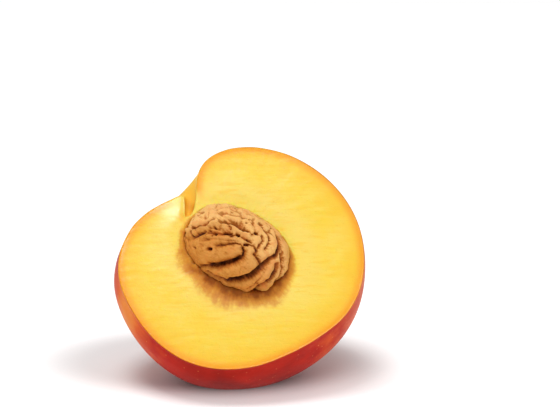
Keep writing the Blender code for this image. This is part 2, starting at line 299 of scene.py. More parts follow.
class NodeDesk:
    """Places and joins shader nodes in one tree."""

    def __init__(self, tree: bpy.types.NodeTree) -> None:
        """Keep the tree that nodes are added to."""
        self.tree = tree

    def add(self, kind: str, inputs: dict[Any, Any] | None = None,
            **settings: Any) -> bpy.types.Node:
        """Add a node.

        Args:
            kind: The node's type name without its ShaderNode start.
            inputs: Values or sockets for its inputs, by name or number.
            **settings: Properties to set on it.

        Returns:
            The new node.
        """
        node = self.tree.nodes.new("ShaderNode" + kind)
        for name, value in settings.items():
            setattr(node, name, value)
        for key, value in (inputs or {}).items():
            self.feed(node.inputs[key], value)
        return node

    def feed(self, target: Socket, value: Any) -> None:
        """Join a socket to an input, or set the input's own value.

        Args:
            target: The input.
            value: A socket, a number, a vector or a colour.
        """
        if isinstance(value, bpy.types.NodeSocket):
            self.tree.links.new(value, target)
        elif isinstance(value, tuple) and len(value) == 3 and target.type == "RGBA":
            target.default_value = (*value, 1.0)
        else:
            target.default_value = value

    def math(self, operation: str, first: Any, second: Any = 0.0, clamp: bool = False) -> Socket:
        """Add a math node and return its value."""
        node = self.add("Math", {0: first, 1: second}, operation=operation, use_clamp=clamp)
        return node.outputs[0]

    def plus(self, first: Any, second: Any) -> Socket:
        """Add two values."""
        return self.math("ADD", first, second)

    def minus(self, first: Any, second: Any) -> Socket:
        """Take the second value from the first."""
        return self.math("SUBTRACT", first, second)

    def times(self, first: Any, second: Any) -> Socket:
        """Multiply two values."""
        return self.math("MULTIPLY", first, second)

    def rest(self, share: Any) -> Socket:
        """Return what a share leaves of 1."""
        return self.minus(1.0, share)

    def swing(self, value: Any, height: float) -> Socket:
        """Turn noise round its middle value into a swing round 0."""
        return self.times(self.minus(value, NOISE_MIDDLE), height)

    def blend(self, share: Any, low: Any, high: Any) -> Socket:
        """Mix two colours.

        Args:
            share: How much of the second colour is taken.
            low: The first colour.
            high: The second colour.

        Returns:
            The mixed colour.
        """
        node = self.add("Mix", data_type="RGBA", blend_type="MIX")
        self.feed(node.inputs[0], share)
        self.feed(node.inputs[6], low)
        self.feed(node.inputs[7], high)
        return node.outputs[2]

    def ease(self, value: Any, low: float, high: float) -> Socket:
        """Ease a value.

        Args:
            value: The value.
            low: Where the result starts to leave 0.
            high: Where the result reaches 1.

        Returns:
            The eased value.
        """
        node = self.add("MapRange", interpolation_type="SMOOTHSTEP")
        self.feed(node.inputs["Value"], value)
        self.feed(node.inputs["From Min"], low)
        self.feed(node.inputs["From Max"], high)
        return node.outputs["Result"]

    def rise(self, value: Any, low: float, high: float, top: float) -> Socket:
        """Ease a value from 0 at low to top at high."""
        return self.times(self.ease(value, low, high), top)

    def fall(self, value: Any, low: float, high: float) -> Socket:
        """Ease a value from 1 at low to 0 at high."""
        return self.rest(self.ease(value, low, high))

    def ramp(self, value: Any, stops: Stops) -> Socket:
        """Turn a value into a colour.

        Args:
            value: The value, from 0 to 1.
            stops: Positions and their colours.

        Returns:
            The colour.
        """
        node = self.add("ValToRGB", {0: value})
        band = node.color_ramp
        while len(band.elements) < len(stops):
            band.elements.new(0.5)
        for element, (position, colour) in zip(band.elements, stops):
            element.position = position
            element.color = (*colour, 1.0)
        return node.outputs["Color"]

    def clouds(self, vector: Any, scale: float, detail: float = 3.0, rough: float = 0.55) -> Socket:
        """Add a noise texture and return its value."""
        inputs = {"Vector": vector, "Scale": scale, "Detail": detail, "Roughness": rough}
        return self.add("TexNoise", inputs).outputs[0]

    def stretch(self, vector: Any, scale: Triple) -> Socket:
        """Scale a vector along its axes."""
        return self.add("Mapping", {"Vector": vector, "Scale": scale}).outputs[0]

    def split(self, vector: Any) -> tuple[Socket, Socket, Socket]:
        """Return a vector's three parts."""
        return tuple(self.add("SeparateXYZ", {0: vector}).outputs)

    def along(self, vector: Any, way: Triple) -> Socket:
        """Return how far a vector reaches along a direction."""
        return self.add("VectorMath", {0: vector, 1: way}, operation="DOT_PRODUCT").outputs["Value"]

    def length(self, first: Any, second: Any) -> Socket:
        """Return the length of two parts at a right angle, given as squares."""
        return self.math("SQRT", self.plus(first, second))

    def number(self, place: Place) -> Socket:
        """Read one of the numbers that the mesh carries."""
        return self.add("Attribute", attribute_name=place.value).outputs["Fac"]

    def vector(self, place: Place) -> Socket:
        """Read one of the vectors that the mesh carries."""
        return self.add("Attribute", attribute_name=place.value).outputs["Vector"]

    def bump(self, height: Any, strength: float, distance: float) -> Socket:
        """Turn a height into a normal."""
        inputs = {"Strength": strength, "Distance": distance, "Height": height}
        return self.add("Bump", inputs).outputs[0]


class EffectKit:
    """Node groups for effects that more than one finish uses.

    Attributes:
        drift_detail: How fine the noise is that moves the mottle's patches.
        patch_detail: How fine the mottle's patches are.
        patch_roughness: How strong the finest of them are.
        faintest_pore: How strong the faintest pore is.
    """

    drift_detail = 2.0
    patch_detail = 5.0
    patch_roughness = 0.6
    faintest_pore = 0.3

    def __init__(self) -> None:
        """Build the groups once."""
        self.mottle = self.build_mottle()
        self.pores = self.build_pores()

    @staticmethod
    def open_group(name: str, inputs: dict[str, float], output: str) -> tuple[Any, Any, Any]:
        """Start a group with a vector input and other named sockets.

        Args:
            name: The group's name.
            inputs: The value of each other input, by its name.
            output: The output's name.

        Returns:
            The group, its input node and its output node.
        """
        group = bpy.data.node_groups.new(name, "ShaderNodeTree")
        sockets = group.interface
        sockets.new_socket("Vector", in_out="INPUT", socket_type="NodeSocketVector")
        for title, value in inputs.items():
            socket = sockets.new_socket(title, in_out="INPUT", socket_type="NodeSocketFloat")
            socket.default_value = value
        sockets.new_socket(output, in_out="OUTPUT", socket_type="NodeSocketFloat")
        return group, group.nodes.new("NodeGroupInput"), group.nodes.new("NodeGroupOutput")

    def build_mottle(self) -> bpy.types.NodeTree:
        """Make slow, warped patches with finer ones in them.

        Returns:
            The group.
        """
        group, start, end = self.open_group("slow_mottle", {"Scale": 0.1, "Warp": 1.0}, "Value")
        desk = NodeDesk(group)
        vector, scale, warp = (start.outputs[name] for name in ("Vector", "Scale", "Warp"))
        inputs = {"Vector": vector, "Scale": scale, "Detail": self.drift_detail}
        drift = desk.add("TexNoise", inputs)
        scaled = desk.add("VectorMath", {0: drift.outputs["Color"]}, operation="SCALE")
        desk.feed(scaled.inputs["Scale"], warp)
        moved = desk.add("VectorMath", {0: vector, 1: scaled.outputs[0]}, operation="ADD")
        patches = desk.clouds(moved.outputs[0], scale, self.patch_detail, self.patch_roughness)
        desk.feed(end.inputs["Value"], patches)
        return group

    def build_pores(self) -> bpy.types.NodeTree:
        """Make small round pits scattered at random, strongest at their middles.

        Returns:
            The group.
        """
        inputs = {"Scale": 1.0, "Size": 0.2, "Share": 0.5}
        group, start, end = self.open_group("round_pores", inputs, "Mask")
        desk = NodeDesk(group)
        cells = desk.add("TexVoronoi", {name: start.outputs[name] for name in ("Vector", "Scale")})
        reach = desk.math("DIVIDE", cells.outputs["Distance"], start.outputs["Size"])
        draw = desk.add("SeparateColor", {0: cells.outputs["Color"]})
        chosen = desk.math("LESS_THAN", draw.outputs[0], start.outputs["Share"])
        softened = desk.times(desk.math("MAXIMUM", desk.rest(reach), 0.0), chosen)
        strength = desk.plus(draw.outputs[1], self.faintest_pore)
        desk.feed(end.inputs["Mask"], desk.times(softened, strength))
        return group

    @staticmethod
    def place_group(desk: NodeDesk, group: bpy.types.NodeTree, vector: Any,
                    values: dict[str, float]) -> Socket:
        """Place a group in a material with the material's own values.

        Args:
            desk: The desk on the material's nodes.
            group: The group.
            vector: Where on the surface it is read.
            values: The values of its other inputs, by name.

        Returns:
            What it puts out.
        """
        node = desk.add("Group", node_tree=group)
        desk.feed(node.inputs["Vector"], vector)
        for name, value in values.items():
            node.inputs[name].default_value = value
        return node.outputs[0]

    def mottled(self, desk: NodeDesk, vector: Any, scale: float, warp: float) -> Socket:
        """Place the mottle and return its value."""
        return self.place_group(desk, self.mottle, vector, {"Scale": scale, "Warp": warp})

    def pitted(self, desk: NodeDesk, vector: Any, scale: float, size: float,
               share: float) -> Socket:
        """Place the pores and return their mask."""
        values = {"Scale": scale, "Size": size, "Share": share}
        return self.place_group(desk, self.pores, vector, values)


@dataclass(frozen=True)
class Finish:
    """Shader values that stay the same all over a surface.

    Attributes:
        name: The material's name.
        roughness: How matt it is.
        specular: How strongly it shines.
        ior: Its index of refraction.
        scatter: How much light goes in and comes out elsewhere.
        scatter_radius: How far red, green and blue light goes in it.
        scatter_scale: The length that those are counted in, m.
        coat: How wet it is.
        coat_roughness: How matt the wetness is.
    """

    name: str
    roughness: float
    specular: float
    ior: float = 1.45
    scatter: float = 0.0
    scatter_radius: Triple = (1.0, 0.4, 0.1)
    scatter_scale: float = 0.002
    coat: float = 0.0
    coat_roughness: float = 0.1

    def start(self) -> tuple[bpy.types.Material, NodeDesk, bpy.types.Node]:
        """Make the material with its constant values set on the shader.

        Returns:
            The material, a desk on its nodes, and its Principled shader.
        """
        material = bpy.data.materials.new(self.name)
        material.use_nodes = True
        shader = material.node_tree.nodes["Principled BSDF"]
        values = {
            "Roughness": self.roughness, "Specular IOR Level": self.specular, "IOR": self.ior,
            "Subsurface Weight": self.scatter, "Subsurface Radius": self.scatter_radius,
            "Subsurface Scale": self.scatter_scale, "Coat Weight": self.coat,
            "Coat Roughness": self.coat_roughness,
        }
        for socket, value in values.items():
            shader.inputs[socket].default_value = value
        return material, NodeDesk(material.node_tree), shader


@dataclass(frozen=True)
class SkinFinish(Finish):
    """Smooth skin: red blush over orange and yellow, with pale dots, a painted sheen on
    the seam-side flank, and a deeper red low down that is partly painted shade.

    Heights run along the stem axis, sides across it and depths behind the cut, mm.
    The numbers of an effect are where it starts, where it is full and how strong
    it is. A pattern's are its scale and its detail or warp, or, for the dots, their
    scale, size and share. A bump's are its strength and its distance in metres.
    """

    name: str = "peach_skin"
    roughness: float = 0.4
    specular: float = 0.08
    scatter: float = 0.2
    scatter_radius: Triple = (1.0, 0.2, 0.1)
    scatter_scale: float = 0.0012
    blush: Stops = (
        (0.0, (0.90, 0.50, 0.05)),
        (0.22, (0.86, 0.30, 0.03)),
        (0.45, (0.70, 0.095, 0.008)),
        (0.68, (0.46, 0.010, 0.001)),
        (1.0, (0.20, 0.003, 0.001)),
    )
    crease: Colour = (0.64, 0.23, 0.02)
    dot_colour: Colour = (0.86, 0.34, 0.12)
    mottle: Pair = (0.05, 9.0)
    patch_range: Triple = (0.34, 0.68, 0.2)
    streak_stretch: Triple = (0.03, 0.16, 0.16)
    streak_detail: float = 4.0
    streak_red: float = 0.36
    base_red: float = 0.31
    low_heights: Pair = (-16.0, 8.0)
    low_sides: Pair = (-16.0, 14.0)
    low_red_and_shade: float = 0.26
    flank_sides: Pair = (-36.0, -24.0)
    flank_heights: Pair = (-10.0, 12.0)
    flank_painted_sheen: float = 0.25
    shoulder: Triple = (-2.0, 24.0, 0.09)
    hollow_reach: Pair = (6.0, 19.0)
    hollow_heights: Pair = (0.0, 12.0)
    hollow_pale: float = 0.75
    fold_middle: float = 0.3
    fold_reach: Pair = (0.1, 1.9)
    fold_depths: Pair = (0.5, 3.5)
    fold_heights: Pair = (16.0, 21.0)
    fold_strength: float = 0.85
    dots: Triple = (0.62, 0.16, 0.7)
    dot_range: Pair = (0.05, 0.45)
    dot_blush: Pair = (0.2, 0.6)
    dot_strength: float = 0.45
    gloss: Pair = (0.32, 0.2)
    grain: Pair = (1.4, 4.0)
    waves: Pair = (0.22, 3.0)
    grain_height: float = 0.12
    bump: Pair = (0.12, 0.0006)

    def redness(self, desk: NodeDesk, kit: EffectKit, place: Socket) -> Socket:
        """Work out how red the skin is.

        Args:
            desk: The desk on the material's nodes.
            kit: The shared effects.
            place: Height, side and depth on the fruit.

        Returns:
            The redness, from 0 to 1.
        """
        height, side, depth = desk.split(place)
        patches = desk.rise(kit.mottled(desk, place, *self.mottle), *self.patch_range)
        streaks = desk.clouds(desk.stretch(place, self.streak_stretch), 1.0, self.streak_detail)
        amount = desk.plus(self.base_red, patches)
        amount = desk.plus(amount, desk.times(streaks, self.streak_red))
        # Deeper red low on the fruit: partly blush, partly painted shade of the underside.
        low = desk.times(desk.fall(height, *self.low_heights), desk.fall(side, *self.low_sides))
        amount = desk.plus(amount, desk.times(low, self.low_red_and_shade))
        # Painted sheen: the seam-side flank is painted paler and more orange.
        painted_sheen_mask = desk.fall(side, *self.flank_sides)
        painted_sheen_mask = desk.times(painted_sheen_mask, desk.ease(height, *self.flank_heights))
        amount = desk.minus(amount, desk.times(painted_sheen_mask, self.flank_painted_sheen))
        amount = desk.minus(amount, desk.rise(side, *self.shoulder))
        from_axis = desk.length(desk.times(side, side), desk.times(depth, depth))
        hollow = desk.fall(from_axis, *self.hollow_reach)
        hollow = desk.times(hollow, desk.ease(height, *self.hollow_heights))
        return desk.math("SUBTRACT", amount, desk.times(hollow, self.hollow_pale), True)

    def fold(self, desk: NodeDesk, place: Socket) -> Socket:
        """Find the fold of the notch.

        Args:
            desk: The desk on the material's nodes.
            place: Height, side and depth on the fruit.

        Returns:
            How much of the crease's colour shows.
        """
        height, side, depth = desk.split(place)
        inner = desk.math("ABSOLUTE", desk.minus(side, self.fold_middle))
        fold = desk.times(desk.fall(inner, *self.fold_reach), desk.fall(depth, *self.fold_depths))
        fold = desk.times(fold, desk.ease(height, *self.fold_heights))
        return desk.times(fold, self.fold_strength)

    def build(self, kit: EffectKit) -> bpy.types.Material:
        """Make the skin's material.

        Args:
            kit: The shared effects.

        Returns:
            The material.
        """
        material, desk, shader = self.start()
        place = desk.vector(Place.FRUIT)
        red = self.redness(desk, kit, place)
        colour = desk.blend(self.fold(desk, place), desk.ramp(red, self.blush), self.crease)
        dots = desk.ease(kit.pitted(desk, place, *self.dots), *self.dot_range)
        speck = desk.times(dots, desk.ease(red, *self.dot_blush))
        colour = desk.blend(desk.times(speck, self.dot_strength), colour, self.dot_colour)
        desk.feed(shader.inputs["Base Color"], colour)
        grain = desk.clouds(place, *self.grain)
        matt, matt_grain = self.gloss
        desk.feed(shader.inputs["Roughness"], desk.plus(matt, desk.times(grain, matt_grain)))
        relief = desk.plus(desk.times(grain, self.grain_height), desk.clouds(place, *self.waves))
        desk.feed(shader.inputs["Normal"], desk.bump(relief, *self.bump))
        return material


@dataclass(frozen=True)
class FleshFinish(Finish):
    """Wet yellow flesh: orange under the skin, brown and fibrous at the stone, with painted
    shade below the stone and in its hollow.

    Heights run along the stem axis and sides across it; skin and stone are as far
    off as the mesh tells, all mm. The numbers of an effect are where it starts,
    where it is full and how strong it is. A pattern's are its scale, its detail or
    warp and its roughness, or, for the pores, their scale, size and share. The two
    directions in the face are given in heights and sides, and patterns drawn along
    them have one scale for each.
    """

    name: str = "peach_flesh"
    roughness: float = 0.34
    scatter: float = 0.55
    scatter_radius: Triple = (1.0, 0.55, 0.12)
    scatter_scale: float = 0.0022
    specular: float = 0.15
    coat: float = 0.5
    coat_roughness: float = 0.2
    across_face: Triple = (-0.656, 0.755, 0.0)
    up_face: Triple = (0.755, 0.656, 0.0)
    deep: Colour = (0.94, 0.57, 0.025)
    middle: Colour = (0.95, 0.65, 0.045)
    pale: Colour = (0.96, 0.71, 0.115)
    rim: Colour = (0.92, 0.39, 0.012)
    skin_edge: Colour = (0.50, 0.09, 0.012)
    cream: Colour = (0.96, 0.73, 0.16)
    nick: Colour = (0.80, 0.42, 0.02)
    # From yellow to dark brown: real browning at the stone; the dark end is also painted shade
    # below the stone and in the hollow.
    halo_and_shade: Stops = (
        (0.0, (0.92, 0.60, 0.08)),
        (0.25, (0.78, 0.41, 0.045)),
        (0.55, (0.68, 0.28, 0.032)),
        (0.8, (0.52, 0.17, 0.018)),
        (1.0, (0.33, 0.085, 0.008)),
    )
    mottle: Pair = (0.09, 5.0)
    strands: Triple = (1.0, 4.0, 0.6)
    drift_stretch: Triple = (0.35, 0.35, 0.5)
    drift_detail: float = 2.0
    drift_height: float = 4.0
    inward: Pair = (1.0, 9.0)
    patch_range: Pair = (0.42, 0.66)
    patch_strength: float = 0.6
    ring: Pair = (4.0, 13.0)
    ring_strength: float = 0.7
    knife_scale: Pair = (0.15, 0.85)
    strokes: Triple = (1.0, 4.0, 0.55)
    light_strokes: Triple = (0.5, 0.68, 0.45)
    dark_strokes: Triple = (0.5, 0.32, 0.5)
    nick_scale: Pair = (0.9, 3.2)
    nick_shift: float = 7.0
    nick_detail: float = 3.0
    nicks: Triple = (0.62, 0.72, 0.6)
    notch_sides: Pair = (2.5, 6.0)
    notch_heights: Pair = (11.0, 18.0)
    rim_range: Pair = (0.3, 3.0)
    edge_range: Pair = (0.05, 0.3)
    edge_heights: Pair = (8.0, 18.0)
    edge_strength: float = 0.8
    blots: Triple = (0.5, 4.0, 0.6)
    ragged_strands: float = 0.32
    ragged_blots: float = 0.7
    ragged_range: Pair = (0.0, 0.3)
    stain_and_shade_range: Pair = (-0.05, 0.5)
    wet_spot: Pair = (-19.2, 13.2)
    wet_reach: float = 6.0
    dry_range: Pair = (2.0, 5.0)
    pores: Triple = (1.3, 0.35, 0.4)
    grain: Triple = (1.1, 5.0, 0.6)
    grain_range: Pair = (0.3, 0.7)
    gloss: Pair = (0.32, 0.25)
    stroke_height: float = 0.9
    grain_height: float = 0.6
    pore_depth: float = 0.5
    bump: Pair = (0.25, 0.0004)

    def yellow(self, desk: NodeDesk, kit: EffectKit, place: Socket,
               fibre: Socket) -> tuple[Socket, Socket]:
        """Mix the yellows of the open flesh.

        Args:
            desk: The desk on the material's nodes.
            kit: The shared effects.
            place: Height, side and depth on the fruit.
            fibre: The place along the fibres.

        Returns:
            The colour, and how far inside the skin a point counts.
        """
        wide = desk.clouds(desk.stretch(fibre, self.drift_stretch), 1.0, self.drift_detail)
        drift = desk.swing(wide, self.drift_height)
        from_skin = desk.number(Place.FROM_SKIN)
        from_stone = desk.number(Place.FROM_STONE)
        inward = desk.ease(desk.plus(from_skin, drift), *self.inward)
        colour = desk.blend(inward, self.deep, self.middle)
        patches = desk.ease(kit.mottled(desk, place, *self.mottle), *self.patch_range)
        patches = desk.times(desk.times(patches, inward), self.patch_strength)
        colour = desk.blend(patches, colour, self.pale)
        ring = desk.times(desk.fall(desk.plus(from_stone, drift), *self.ring), self.ring_strength)
        return desk.blend(ring, colour, self.cream), inward

    def knife_marks(self, desk: NodeDesk, colour: Socket, inward: Socket, across: Socket,
                    upward: Socket) -> tuple[Socket, Socket]:
        """Draw the knife's strokes and nicks over the flesh.

        Args:
            desk: The desk on the material's nodes.
            colour: The flesh's colour.
            inward: How far inside the skin a point counts.
            across: The place across the face.
            upward: The place up the face.

        Returns:
            The new colour, and the strokes' own value.
        """
        wide, high = self.knife_scale
        knife = desk.add("CombineXYZ", {0: desk.times(across, wide), 1: desk.times(upward, high)})
        strokes = desk.clouds(knife.outputs[0], *self.strokes)
        for mark, paint in ((self.light_strokes, self.pale), (self.dark_strokes, self.deep)):
            colour = desk.blend(desk.times(desk.rise(strokes, *mark), inward), colour, paint)
        wide, high = self.nick_scale
        short = desk.add("CombineXYZ", {0: desk.times(across, wide), 1: desk.times(upward, high),
                                        2: self.nick_shift})
        nicks = desk.clouds(short.outputs[0], 1.0, self.nick_detail)
        return desk.blend(desk.rise(nicks, *self.nicks), colour, self.nick), strokes

    def edges(self, desk: NodeDesk, place: Socket, colour: Socket) -> Socket:
        """Paint the orange under the skin and the thin line of skin.

        Args:
            desk: The desk on the material's nodes.
            place: Height, side and depth on the fruit.
            colour: The flesh's colour.

        Returns:
            The new colour.
        """
        height, side, _ = desk.split(place)
        from_skin = desk.number(Place.FROM_SKIN)
        beside = desk.fall(desk.math("ABSOLUTE", side), *self.notch_sides)
        notch = desk.times(desk.ease(height, *self.notch_heights), beside)
        orange = desk.times(desk.fall(from_skin, *self.rim_range), desk.rest(notch))
        colour = desk.blend(orange, colour, self.rim)
        away = desk.times(desk.fall(height, *self.edge_heights), self.edge_strength)
        line = desk.times(desk.fall(from_skin, *self.edge_range), away)
        return desk.blend(line, colour, self.skin_edge)

    def stain_and_shade(self, desk: NodeDesk, place: Socket, fibre: Socket, colour: Socket) -> Socket:
        """Paint the brown halo with its torn edge: real browning, with painted shade below the
        stone and in the hollow.

        Args:
            desk: The desk on the material's nodes.
            place: Height, side and depth on the fruit.
            fibre: The place along the fibres.
            colour: The flesh's colour.

        Returns:
            The new colour.
        """
        halo_and_shade = desk.number(Place.HALO_AND_SHADE)
        ragged = desk.swing(desk.clouds(fibre, *self.strands), self.ragged_strands)
        blots = desk.swing(desk.clouds(place, *self.blots), self.ragged_blots)
        ragged = desk.times(desk.plus(ragged, blots), desk.ease(halo_and_shade, *self.ragged_range))
        torn = desk.math("ADD", halo_and_shade, ragged, True)
        return desk.blend(desk.ease(torn, *self.stain_and_shade_range), colour, desk.ramp(torn, self.halo_and_shade))

    def wetness(self, desk: NodeDesk, across: Socket, upward: Socket) -> Socket:
        """Work out how wet the flesh is: most beside the notch, dry at the stone.

        Args:
            desk: The desk on the material's nodes.
            across: The place across the face.
            upward: The place up the face.

        Returns:
            The weight of the coat.
        """
        squares = [desk.math("POWER", desk.minus(part, middle), 2.0)
                   for part, middle in zip((across, upward), self.wet_spot)]
        spot = desk.fall(desk.length(*squares), 0.0, self.wet_reach)
        coat = desk.plus(self.coat, desk.times(spot, 1.0 - self.coat))
        from_stone = desk.number(Place.FROM_STONE)
        return desk.times(desk.ease(from_stone, *self.dry_range), coat)

    def build(self, kit: EffectKit) -> bpy.types.Material:
        """Make the flesh's material.

        Args:
            kit: The shared effects.

        Returns:
            The material.
        """
        material, desk, shader = self.start()
        place = desk.vector(Place.FRUIT)
        fibre = desk.vector(Place.FIBRE)
        across = desk.along(place, self.across_face)
        upward = desk.along(place, self.up_face)
        colour, inward = self.yellow(desk, kit, place, fibre)
        colour, strokes = self.knife_marks(desk, colour, inward, across, upward)
        colour = self.edges(desk, place, colour)
        colour = self.stain_and_shade(desk, place, fibre, colour)
        desk.feed(shader.inputs["Base Color"], colour)
        desk.feed(shader.inputs["Coat Weight"], self.wetness(desk, across, upward))
        grain = desk.clouds(place, *self.grain)
        matt, matt_grain = self.gloss
        rough = desk.plus(matt, desk.rise(grain, *self.grain_range, matt_grain))
        desk.feed(shader.inputs["Roughness"], rough)
        strokes = desk.times(strokes, self.stroke_height)
        relief = desk.plus(strokes, desk.times(grain, self.grain_height))
        pores = desk.times(kit.pitted(desk, place, *self.pores), self.pore_depth)
        relief = desk.minus(relief, pores)
        desk.feed(shader.inputs["Normal"], desk.bump(relief, *self.bump))
        return material


@dataclass(frozen=True)
class StoneFinish(Finish):
    """Damp woody stone: tan ridges with painted highlights, furrows darkened with painted
    shade, reddish fibre in between.

    Places run along, across and out of the stone, mm, and the level from 0 on a
    furrow's floor to 1 on a ridge. The numbers of an effect are where it starts,
    where it is full and how strong it is. A pattern's are its scale, its detail or
    warp and its roughness, or, for the pores, their scale, size and share.
    """

    name: str = "stone_shell"
    roughness: float = 0.5
    specular: float = 0.18
    scatter: float = 0.08
    scatter_scale: float = 0.0008
    up_face: Triple = (-0.574, 0.819, 0.0)
    # By level: dark in the furrows as painted shade, light on the ridges.
    bands: Stops = (
        (0.0, (0.05, 0.008, 0.001)),
        (0.3, (0.17, 0.030, 0.003)),
        (0.55, (0.38, 0.105, 0.010)),
        (0.8, (0.58, 0.205, 0.027)),
        (1.0, (0.70, 0.29, 0.055)),
    )
    # pale is the painted highlight on the ridges that face the light.
    pale: Colour = (1.0, 0.585, 0.20)
    red_fibre: Colour = (0.74, 0.20, 0.035)
    clinging: Colour = (0.86, 0.44, 0.08)
    shaded_foot: Colour = (0.46, 0.15, 0.02)
    mottle: Pair = (0.33, 1.6)
    grain_stretch: Triple = (0.8, 2.6, 2.6)
    grain: Triple = (1.0, 5.0, 0.65)
    fleck_stretch: Triple = (1.3, 2.0, 2.0)
    flecks: Triple = (1.0, 3.0, 0.6)
    mottle_level: float = 0.6
    fleck_level: float = 0.7
    grain_level: float = 0.5
    shade_lift_up_face: Triple = (1.0, 7.0, 0.7)
    tip_lean: float = 0.75
    highlight_levels: Pair = (0.55, 0.95)
    lit_range: Pair = (-5.0, 5.0)
    upper_range: Pair = (2.0, 7.0)
    turned: Triple = (5.0, 12.0, 0.35)
    highlight_strength: float = 0.85
    fibre_patches: Triple = (0.47, 0.7, 0.42)
    fibre_tip: Triple = (6.0, 15.0, 0.12)
    shred_stretch: Triple = (0.9, 0.9, 0.35)
    shreds: Triple = (1.0, 4.0, 0.6)
    shred_height: float = 8.0
    left_on: Pair = (0.2, 2.6)
    left_strength: float = 0.7
    shaded_foot_range: Pair = (-7.0, 1.0)
    gloss: Pair = (0.34, 0.35)
    pores: Triple = (1.6, 0.4, 0.5)
    pore_depth: float = 0.8
    bump: Pair = (0.5, 0.0006)

    def wood(self, desk: NodeDesk, level: Socket, upper: Socket, lit: Socket) -> Socket:
        """Colour the wood by its level: painted shade darkens the furrows, and a painted
        highlight lightens the ridges that face the light.

        Args:
            desk: The desk on the material's nodes.
            level: How high a point stands, from 0 in a furrow to 1 on a ridge.
            upper: The place up the face.
            lit: The place up the face and towards the tip.

        Returns:
            The colour.
        """
        # Up the face the furrows' painted shade is lifted.
        level = desk.math("MAXIMUM", level, desk.rise(upper, *self.shade_lift_up_face))
        tipward, upward = desk.ease(lit, *self.lit_range), desk.ease(upper, *self.upper_range)
        facing = desk.math("MAXIMUM", tipward, upward)
        light = desk.times(facing, desk.rest(desk.rise(lit, *self.turned)))
        ridge = desk.times(desk.ease(level, *self.highlight_levels), light)
        ridge = desk.times(ridge, self.highlight_strength)
        return desk.blend(ridge, desk.ramp(level, self.bands), self.pale)

    def flesh_left_on(self, desk: NodeDesk, place: Socket, lit: Socket, colour: Socket) -> Socket:
        """Paint the shreds of flesh that cling low on the stone, painted darker as shade where
        they face away from the light.

        Args:
            desk: The desk on the material's nodes.
            place: The place on the stone.
            lit: The place up the face and towards the tip.
            colour: The wood's colour.

        Returns:
            The new colour.
        """
        shreds = desk.clouds(desk.stretch(place, self.shred_stretch), *self.shreds)
        out = desk.split(place)[2]
        height = desk.minus(out, desk.swing(shreds, self.shred_height))
        share = desk.times(desk.fall(height, *self.left_on), self.left_strength)
        # Shaded copy of the clinging flesh where it faces away from the light: painted shade.
        flesh = desk.blend(desk.ease(lit, *self.shaded_foot_range), self.shaded_foot, self.clinging)
        return desk.blend(share, colour, flesh)

    def build(self, kit: EffectKit) -> bpy.types.Material:
        """Make the stone's material.

        Args:
            kit: The shared effects.

        Returns:
            The material.
        """
        material, desk, shader = self.start()
        place = desk.vector(Place.STONE)
        patches = kit.mottled(desk, place, *self.mottle)
        grain = desk.clouds(desk.stretch(place, self.grain_stretch), *self.grain)
        flecks = desk.clouds(desk.stretch(place, self.fleck_stretch), *self.flecks)
        # The level carries the painted shade of the furrows and the painted highlight of what
        # stands out.
        relief = desk.number(Place.LIGHT_AND_SHADE)
        level = desk.plus(relief, desk.swing(patches, self.mottle_level))
        level = desk.plus(level, desk.swing(flecks, self.fleck_level))
        level = desk.math("ADD", level, desk.swing(grain, self.grain_level), True)
        upper = desk.along(place, self.up_face)
        to_tip = desk.split(place)[0]
        lit = desk.plus(upper, desk.times(to_tip, self.tip_lean))
        fibre = desk.rise(patches, *self.fibre_patches)
        fibre = desk.plus(fibre, desk.rise(to_tip, *self.fibre_tip))
        colour = desk.blend(fibre, self.wood(desk, level, upper, lit), self.red_fibre)
        colour = self.flesh_left_on(desk, place, lit, colour)
        desk.feed(shader.inputs["Base Color"], colour)
        matt, matt_grain = self.gloss
        desk.feed(shader.inputs["Roughness"], desk.plus(matt, desk.times(grain, matt_grain)))
        pores = desk.times(kit.pitted(desk, place, *self.pores), self.pore_depth)
        relief = desk.minus(desk.plus(grain, flecks), pores)
        desk.feed(shader.inputs["Normal"], desk.bump(relief, *self.bump))
        return material


@dataclass(frozen=True)
class FloorFinish(Finish):
    """Plain matt white floor with a faint glow of painted light, dimmed round the fruit as a
    painted shadow.

    Attributes:
        colour: The floor's colour and that of its glow.
        painted_glow: How strongly it glows away from the fruit, as painted light.
        middle: Moves the middle of the dim part, the painted shadow, m.
        spread: How much the dim part is narrowed along each axis.
        painted_shadow_radius: How far the dim part, a painted shadow, reaches, m.
        bright_radius: Where the glow is full, m.
    """

    name: str = "pale_floor"
    roughness: float = 0.6
    specular: float = 0.2
    colour: Colour = (0.8, 0.8, 0.8)
    painted_glow: float = 0.5
    middle: Triple = (0.005, -0.016, 0.0)
    spread: Triple = (0.65, 1.0, 1.0)
    painted_shadow_radius: float = 0.022
    bright_radius: float = 0.038

    def build(self) -> bpy.types.Material:
        """Make the floor's material: its painted glow starts some way off the fruit, leaving a
        painted shadow round it.

        Returns:
            The material.
        """
        material, desk, shader = self.start()
        for socket in ("Base Color", "Emission Color"):
            shader.inputs[socket].default_value = (*self.colour, 1.0)
        inputs = {"Vector": desk.add("TexCoord").outputs["Object"], "Location": self.middle,
                  "Scale": self.spread}
        place = desk.add("Mapping", inputs).outputs[0]
        reach = desk.add("VectorMath", {0: place}, operation="LENGTH").outputs["Value"]
        # Painted light: the glow is dimmed round the fruit as a painted shadow.
        share = desk.rise(reach, self.painted_shadow_radius, self.bright_radius, self.painted_glow)
        desk.feed(shader.inputs["Emission Strength"], share)
        return material


